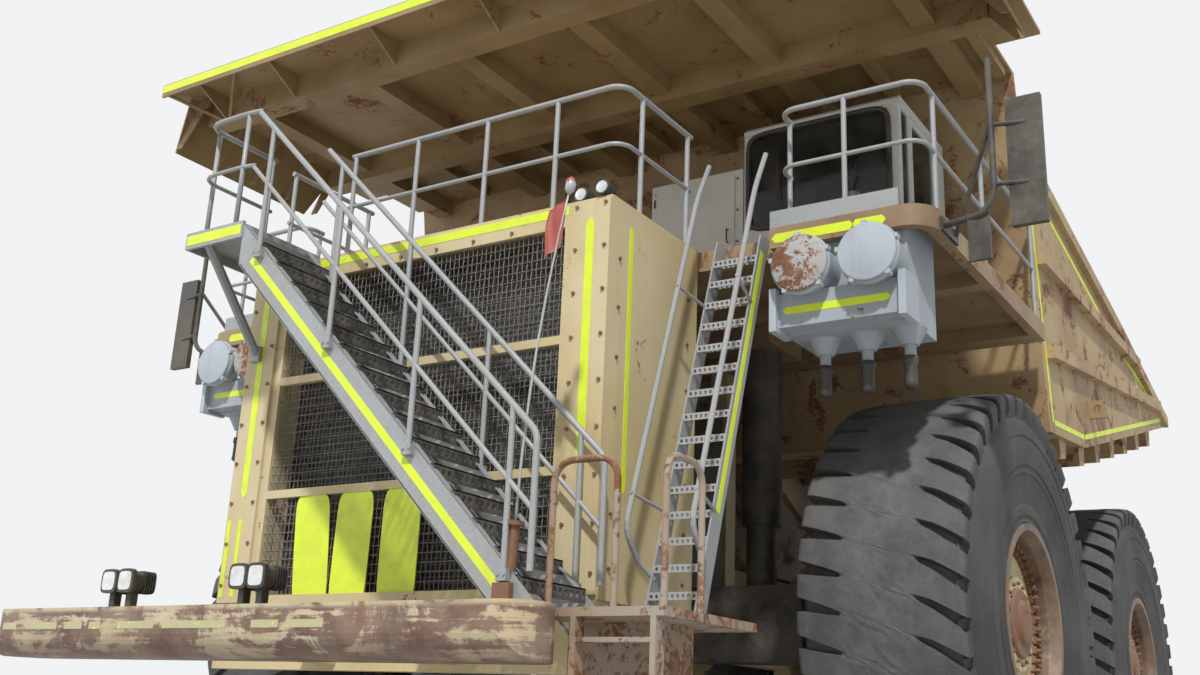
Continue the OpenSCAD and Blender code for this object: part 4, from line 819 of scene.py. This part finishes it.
form = Form()
tape(form, (-1.90, BEAM_FRONT, 4.935), (1.56, BEAM_FRONT, 4.935), 0.075, FACE)
for x in (-1.79, 1.79):
    tape(form, (x, COLUMN_FRONT, 2.86), (x, COLUMN_FRONT, 4.78), 0.075, FACE, 0.05)
for x in (-1.93, -1.79):
    tape(form, (x, COLUMN_FRONT, 1.95), (x, COLUMN_FRONT, 2.62), 0.045, FACE)
for e in (-1, 1):
    tape(form, (e * 1.97, -3.38, 2.70), (e * 1.97, -3.38, 4.80), 0.055, (e, 0, 0), 0.03)
    for x0, x1 in ((2.80, 3.45), (3.50, 3.72)):
        tape(form, (e * x0, DECK_FRONT, 4.90), (e * x1, DECK_FRONT, 4.90), 0.08, FACE, 0.03)
    tape(form, (e * 2.93, AIR_Y - 0.16, 4.235), (e * 3.76, AIR_Y - 0.16, 4.235), 0.062, FACE, 0.04)
piece("tapes_on_housing", form, HIVIS_TAPE)

form = Form()
slope_start = np.array([STAIR_TOP + 0.16, STAIR_Y, DECK_Z - 0.36])
slope_end = slope_start + np.array([STAIR_FOOT - STAIR_TOP, 0, BUMPER_Z - DECK_Z]) * 0.86
tape(form, slope_start, slope_end, 0.062, FACE)
y, z = STAIR_Y - 0.01, DECK_Z - 0.055
tape(form, (LANDING_X + 0.02, y, z), (STAIR_TOP - 0.02, y, z), 0.09, FACE)
x = LADDER_X + LADDER_W / 2
tape(form, (x, LADDER_FOOT + 0.25, BUMPER_Z + 0.80), (x, LADDER_HEAD - 0.06, DECK_Z - 0.16), 0.055, LEFT)
piece("tapes_on_stairs", form, HIVIS_TAPE)

form = Form()
BUMPER_TAPES = (
    (-3.02, -2.84), (-2.70, -2.30), (-2.20, -1.98), (-1.89, -1.75),
    (-1.54, -1.12), (-1.02, -0.33), (-0.07, 0.20), (0.28, 0.63),
)
for x0, x1 in BUMPER_TAPES:
    tape(form, (x0, BUMPER_FRONT, 1.60), (x1, BUMPER_FRONT, 1.60), 0.055, FACE)
piece("tapes_on_bumper", form, HIVIS_WORN)

# Tapes on the body's sides: ends as (y, z)
BODY_TAPES = (
    ((1.55, 4.13), (1.12, 6.62)), ((1.62, 4.14), (2.95, 4.27)), ((3.0, 4.28), (8.3, 5.66)),
    ((1.20, 6.62), (5.4, 5.98)), ((5.46, 5.97), (8.2, 5.76)), ((6.6, 5.30), (6.5, 5.82)),
)
form = Form()
for e in (-1, 1):
    for start, end in BODY_TAPES:
        tape(form, (e * BODY_SIDE, *start), (e * BODY_SIDE, *end), 0.055, (e, 0, 0))
piece("tapes_on_body", form, HIVIS_TAPE, body="body_and_canopy")


def rounded(half_w, half_h, square=0.32, lean=0.0, count=28):
    """Outline x = a sgn(cos t)|cos t|^s, z = b sgn(sin t)|sin t|^s, leaning with its height."""
    t = turns(count)
    x = half_w * np.sign(np.cos(t)) * np.abs(np.cos(t)) ** square
    z = half_h * np.sign(np.sin(t)) * np.abs(np.sin(t)) ** square
    return np.stack([x + lean * z, z], 1)


form = Form()
for x, lean in ((-0.93, -0.08), (-0.47, 0.02), (0.05, 0.0)):
    form.plate(rounded(0.20, 0.47, 0.30, lean), (x, MESH_Y - 0.015, 2.335), LEFT, UP, 0.006)
piece("blank_plates", form, HIVIS_TAPE)

# Lamps, beacons and the whip
glass, black = Form(), Form()
LAMP_Z = 1.95
# Square-shouldered parts of each bumper lamp: form, half width, back face, thickness
LAMP_PARTS = [(black, 0.094, -4.885, 0.035), (glass, 0.072, -4.919, 0.006)]
LAMP_PARTS += [(black, 0.088, -4.78 + 0.022 * k, 0.008) for k in range(5)]
for x in (-1.84, -1.64, -0.36, -0.17):
    for form, half, y, thick in LAMP_PARTS:
        form.plate(rounded(half, half, 0.45), (x, y, LAMP_Z), LEFT, UP, thick)
    black.box((x - 0.03, -4.87, BUMPER_Z), (x + 0.03, -4.80, LAMP_Z - 0.08))
WORK_LAMP = [(-0.115, 0.045), (-0.10, 0.066), (-0.004, 0.068), (0.008, 0.062), (0.002, 0.052), (-0.004, 0.05)]
for e in (-1, 1):
    for d in (0.0, 0.26):
        centre = (e * 1.88 - e * d * 0.9, BEAM_FRONT + 0.09 + d * 0.2 - 0.112, 5.07)
        glass.lathe([(0, 0.052), (0.01, 0.05), (0.016, 0.02)], centre, FACE, 20)
        black.lathe(WORK_LAMP, centre, FACE, 20)
piece("lamp_lenses", glass, LENS)
piece("lamp_bodies", black, BLACK_IRON, bevel=0.002)

form = Form()
BEACON = [(0.0, 0.066), (0.02, 0.07), (0.15, 0.066), (0.20, 0.05), (0.225, 0.02)]
for e in (-1, 1):
    form.lathe(BEACON, (e * 3.4, DECK_FRONT + 0.2, DECK_Z + 0.05), UP, 24)
piece("beacon_lenses", form, RED_LENS, smooth=True)

# Whip: a socket on the bumper, a thin rod that bows to one side, and a knob with a red tip
form = Form()
WHIP_FOOT, WHIP_TOP = np.array([1.86, -4.60, BUMPER_Z]), np.array([2.20, -4.60, 4.62])
WHIP_ROOT = WHIP_FOOT + (0.0, 0.0, 0.12)
WHIP_BEND = WHIP_ROOT + (0.04, 0, 0.42)
form.box(WHIP_FOOT + (-0.07, -0.07, -0.01), WHIP_FOOT + (0.07, 0.07, 0.14))
form.tube([WHIP_ROOT, WHIP_ROOT + (0.02, 0, 0.12), WHIP_BEND], [0.040, 0.038, 0.034], 12)
form.lathe([(0, 0.06), (0.03, 0.06)], WHIP_ROOT + (0.04, 0, 0.40), (0.1, 0, 1), 12)
piece("whip_socket", form, CLAMP_RUST)
form = Form()
t = np.linspace(0, 1, 14)[:, None]
bow = (0.06, 0, 0) * t * (1 - t) * 4
form.tube(WHIP_BEND + t * (WHIP_TOP - WHIP_BEND) - bow, np.linspace(0.011, 0.007, 14), 8)
form.lathe([(-0.03, 0.012), (0.0, 0.035), (0.05, 0.038), (0.085, 0.02)], WHIP_TOP, (0.2, 0, 1), 16)
piece("whip", form, GALVANISED_PALE, smooth=True)
form = Form()
form.lathe([(0.0, 0.016), (0.02, 0.034), (0.07, 0.036), (0.10, 0.012)], WHIP_TOP, (0.1, 0, 1), 16)
piece("whip_tip", form, RED_LENS, smooth=True)

# Faded flag, hung from the whip: z falls with v, and y waves by 12 mm sin(9 u + 5 v), more at the free edge
FLAG_W, FLAG_L, FLAG_T = 0.15, 0.36, 0.0012
u, v = np.meshgrid(np.linspace(0, 1, 13), np.linspace(0, 1, 25), indexing="ij")
hang = WHIP_TOP + (-0.02, 0.0, -0.06)
sway = 0.012 * np.sin(9 * u + 5 * v) * (0.3 + u)
cloth = np.stack([hang[0] - FLAG_W * u - 0.03 * v, hang[1] + sway, hang[2] - FLAG_L * v - 0.06 * u], -1)
back = cloth + (0.0, FLAG_T, 0.0)
n_u, n_v = u.shape
index = np.arange(n_u * n_v).reshape(n_u, n_v)
k = index[:-1, :-1].ravel()
front_faces = np.stack([k, k + 1, k + n_v + 1, k + n_v], 1)
back_faces = front_faces[:, ::-1] + index.size
rim = np.concatenate([index[:, 0], index[-1, 1:], index[-2::-1, -1], index[0, -2:0:-1]])
after = np.roll(rim, -1)
rim_faces = np.stack([after, rim, rim + index.size, after + index.size], 1)
form = Form()
form.add(np.concatenate([cloth.reshape(-1, 3), back.reshape(-1, 3)]),
         np.concatenate([front_faces, back_faces, rim_faces]).tolist())
flag = piece("whip_flag", form, FLAG_CLOTH, smooth=True)

form = Form()
tape(form, (-4.44, CANOPY_FRONT, CANOPY_Z + 0.035), (4.44, CANOPY_FRONT, CANOPY_Z + 0.035), 0.09, FACE)
piece("tape_on_canopy", form, HIVIS_TAPE, body="body_and_canopy")

# Canopy: flared wings with gussets, and gussets, ribs and stays behind the front lip
WING = [(0, -0.02), (2.35, -0.02), (2.15, 0.655), (0.12, 0.655)]
WING_GUSSET = [(4.25, CANOPY_Z), (4.53, 7.16), (4.44, 7.16), (4.02, CANOPY_Z)]
LIP_GUSSET = [(-3.28, CANOPY_Z), (-2.82, CANOPY_Z), (-2.82, 7.45)]
form = Form()
for e in (-1, 1):
    form.plate(WING, (e * 4.25, -3.05, CANOPY_Z + 0.005), BACK, (e * 0.30, 0, -0.58), 0.022)
    for y in (-2.95, -2.4, -1.85, -1.3, -0.8):
        form.plate(WING_GUSSET, (0, y, 0), (e, 0, 0), UP, 0.02)
for x in (-3.9, -2.8, -1.35, 0.0, 1.35, 2.8, 3.9):
    form.plate(LIP_GUSSET, (x, 0, 0), BACK, UP, 0.022)
    form.box((x - 0.05, -0.62, CANOPY_Z - 0.10), (x + 0.07, 0.60, CANOPY_Z))
for e in (-1, 1):
    for x0, x1 in ((4.40, 3.95), (3.30, 3.85)):
        form.tube([(e * x0, -3.26, 7.68), (e * x1, -2.80, 7.46)], 0.02)
piece("canopy_wings", form, CANOPY_PAINT, body="body_and_canopy")

# Cab: rubber round the panes, wipers, handle and gutter
form = Form()
screen = rounded(0.755, 0.53, 0.22, count=64)
loop = np.array([(2.37 + x, CAB_FRONT - 0.038, 6.395 + z) for x, z in [*screen, screen[0]]])
form.tube(loop, 0.026, 8)
for x in (1.95, 2.65):
    form.tube([(x, -0.60, 5.90), (x + 0.12, -0.62, 6.28), (x + 0.15, -0.61, 6.40)], 0.009, 6)
    form.box((x, -0.612, 6.15), (x + 0.012, -0.600, 6.70))
piece("windscreen_rubber", form, RUBBER_TRIM, smooth=True)
form = Form()
form.tube(bent([(3.22, -0.20, 6.0), (3.28, -0.20, 6.0), (3.28, -0.20, 5.6), (3.22, -0.20, 5.6)], 0.03), 0.012)
piece("door_handle", form, BLACK_IRON, body="door")
form = Form()
form.box((1.54, -0.60, 6.93), (3.25, -0.57, 6.98))
form.box((1.54, -0.60, 6.93), (1.575, 0.83, 6.98))
for z in (5.25, 5.55):
    for x in np.arange(0.60, 1.45, 0.2):
        form.box((x, CAB_FRONT - 0.006, z), (x + 0.15, CAB_FRONT + 0.001, z + 0.02))
piece("cab_gutter", form, CAB_PAINT, bevel=0.004)


def bolts(form, points, axis, size=0.016, height=0.014):
    """Hexagon heads on a face."""
    for point in points:
        form.lathe([(-0.001, size), (height, size), (height, size * 0.3)], point, axis, 6)


form = Form()
y, pitch = COLUMN_FRONT - 0.001, 0.36
rows = [(e * x, y, z) for e in (-1, 1) for x in (1.66, 1.93) for z in np.arange(2.05, 4.95, pitch)]
bolts(form, rows, FACE)
bolts(form, [(x, BEAM_FRONT - 0.001, 4.84) for x in np.arange(-1.4, 1.5, 0.4)], FACE)
bolts(form, [(1.971, y, z) for y in (-3.55, -2.45) for z in np.arange(2.1, 4.9, 0.4)], LEFT)
y, pitch = CAB_FRONT - 0.001, 0.35
bolts(form, [(x, y, z) for x in (0.50, 1.48) for z in np.arange(5.1, 6.6, pitch)], FACE, 0.012)
piece("housing_bolts", form, CLAMP_RUST)

form = Form()
for e in (-1, 1):
    for x in (LID_INNER_X, LID_OUTER_X):
        face = (e * x, LID_Y, LID_Z)
        form.lathe([(-0.07, 0.246), (-0.045, 0.252), (-0.02, 0.246)], face, FACE, 40)
        form.lathe([(-0.001, 0.20), (0.006, 0.19), (0.009, 0.02)], face, FACE, 40)
        for turn in turns(5) + 0.4:
            px, pz = face[0] + 0.245 * math.cos(turn), face[2] + 0.245 * math.sin(turn)
            form.box((px - 0.02, -2.715, pz - 0.02), (px + 0.02, -2.64, pz + 0.02))
    form.box((e * 2.80, -2.60, 4.06), (e * 2.86, -2.30, 4.42))
    form.box((e * 3.93, -2.60, 4.06), (e * 3.87, -2.30, 4.42))
piece("air_cleaner_rings", form, LID_PALE, bevel=0.003)

LID = [(-0.002, 0.236), (0.004, 0.236), (0.010, 0.225), (0.008, 0.20), (0.014, 0.185), (0.018, 0.02)]
for name, x, finish in (("lids_rusty", LID_INNER_X, LID_RUSTY), ("lids_pale", LID_OUTER_X, LID_PALE)):
    form = Form()
    for e in (-1, 1):
        form.lathe(LID, (e * x, LID_Y, LID_Z), FACE, 40)
    piece(name, form, finish, smooth=True)

DUST_CUP = [(0.0, 0.060), (0.05, 0.062), (0.07, 0.05), (0.20, 0.052), (0.235, 0.058), (0.26, 0.03)]
form = Form()
for e in (-1, 1):
    for x in (3.08, 3.44, 3.79):
        form.lathe(DUST_CUP, (e * x, -2.129, 3.86), (0, 0, -1), 20)
piece("dust_cup_collars", form, RUBBER_TRIM, smooth=True)

# Doors, louvres and handles of the deck's cabinets: both sides, front and height of each
CABINETS = ((0.45, 1.49, CAB_FRONT, 1.6), (-3.60, -2.10, -0.50, 1.4), (-1.95, -0.60, -0.50, 1.4))
LOUVRE = [(0, 0), (0.022, -0.03), (0.022, -0.036), (0, -0.006)]
# A handle's corners: outwards from the door, height above the deck
GRIP = ((0.012, 0.80), (0.05, 0.80), (0.05, 0.94), (0.012, 0.94))
form, handles = Form(), Form()
for x0, x1, y, high in CABINETS:
    doors = 2 if x1 - x0 > 1.2 else 1
    wide = (x1 - x0 - 0.06) / doors
    for k in range(doors):
        a, b = x0 + 0.03 + wide * k + 0.012, x0 + 0.03 + wide * (k + 1) - 0.012
        form.box((a, y - 0.014, DECK_Z + 0.08), (b, y + 0.002, DECK_Z + high - 0.06))
        for z in np.arange(DECK_Z + 0.22, DECK_Z + 0.56, 0.055):
            form.plate(LOUVRE, (a + 0.10, y - 0.013, z), FACE, UP, b - a - 0.2)
        grip = [(b - 0.07, y - out, DECK_Z + z) for out, z in GRIP]
        handles.tube(bent(grip, 0.015), 0.008)
        for z in (0.25, high - 0.25):
            handles.tube([(a + 0.004, y - 0.02, DECK_Z + z), (a + 0.004, y - 0.02, DECK_Z + z + 0.09)], 0.010)
piece("cabinet_doors", form, CAB_PAINT, bevel=0.003)
piece("cabinet_handles", handles, BLACK_IRON, smooth=True)

# Camera: fitted to the photograph's own lines; columns of its matrix are right, up and backwards
PIXELS_WIDE = 1200.0
FOCAL_PIXELS = 1253.35
right = Vector((0.8419398, 0.53804245, 0.04059185))
up = Vector((0.12644684, -0.26988163, 0.95455492))
ahead = Vector((-0.52454607, 0.79854507, 0.29525785))
camera_data = bpy.data.cameras.new("camera")
camera_data.sensor_width = 36.0
camera_data.lens = 36.0 * FOCAL_PIXELS / PIXELS_WIDE
camera = placed("camera", camera_data)
camera.matrix_world = Matrix.Translation((6.90, -11.284 + FRONT_AXLE_Y, 1.016)) @ Matrix(
    [[right[i], up[i], -ahead[i]] for i in range(3)]
).to_4x4()
bpy.context.scene.camera = camera


def stage_material():
    """Pale matt floor, faintly clouded."""
    p = surface("floor_pale")
    tone = p.mix(p.band(p.noise(0.25, 4.0), 0.3, 0.7), (0.60, 0.60, 0.59), (0.63, 0.63, 0.62))
    return p.finish(tone, 0.9)


floor_mesh = bpy.data.meshes.new("floor")
floor_mesh.from_pydata([(-80, -80, 0), (80, -80, 0), (80, 80, 0), (-80, 80, 0)], [], [(0, 1, 2, 3)])
floor_mesh.materials.append(stage_material())
floor = placed("floor", floor_mesh)


def world_light():
    """An even pale sky for light, and near white where it is seen, mirrored or looked through."""
    world = bpy.data.worlds.new("studio")
    bpy.context.scene.world = world
    p = Painter(world)
    path = p.node("ShaderNodeLightPath").outputs
    seen = p.larger(path["Is Camera Ray"], path["Is Glossy Ray"])
    through = p.larger(seen, path["Is Transmission Ray"])
    light = p.node("ShaderNodeBackground", {0: (0.86, 0.92, 1.0), 1: 0.42}).outputs[0]
    pale = p.node("ShaderNodeBackground", {0: (0.93, 0.94, 0.95), 1: 0.95}).outputs[0]
    choice = p.node("ShaderNodeMixShader", {0: through, 1: light, 2: pale}).outputs[0]
    p.node("ShaderNodeOutputWorld", {0: choice})


world_light()


def sun(name, azimuth, elevation, strength, size):
    """A soft sun: azimuth 0 shines along +Y, elevation above the ground, in degrees."""
    lamp = bpy.data.lights.new(name, "SUN")
    lamp.energy = strength
    lamp.angle = math.radians(size)
    holder = placed(name, lamp)
    a, e = math.radians(azimuth), math.radians(elevation)
    toward = Vector((math.sin(a) * math.cos(e), math.cos(a) * math.cos(e), -math.sin(e)))
    holder.rotation_mode = "QUATERNION"
    holder.rotation_quaternion = toward.to_track_quat("-Z", "Y")


sun("key_light", -28, 48, 3.1, 3)
sun("fill_light", 60, 20, 0.5, 40)
bpy.context.scene.view_settings.view_transform = "Standard"
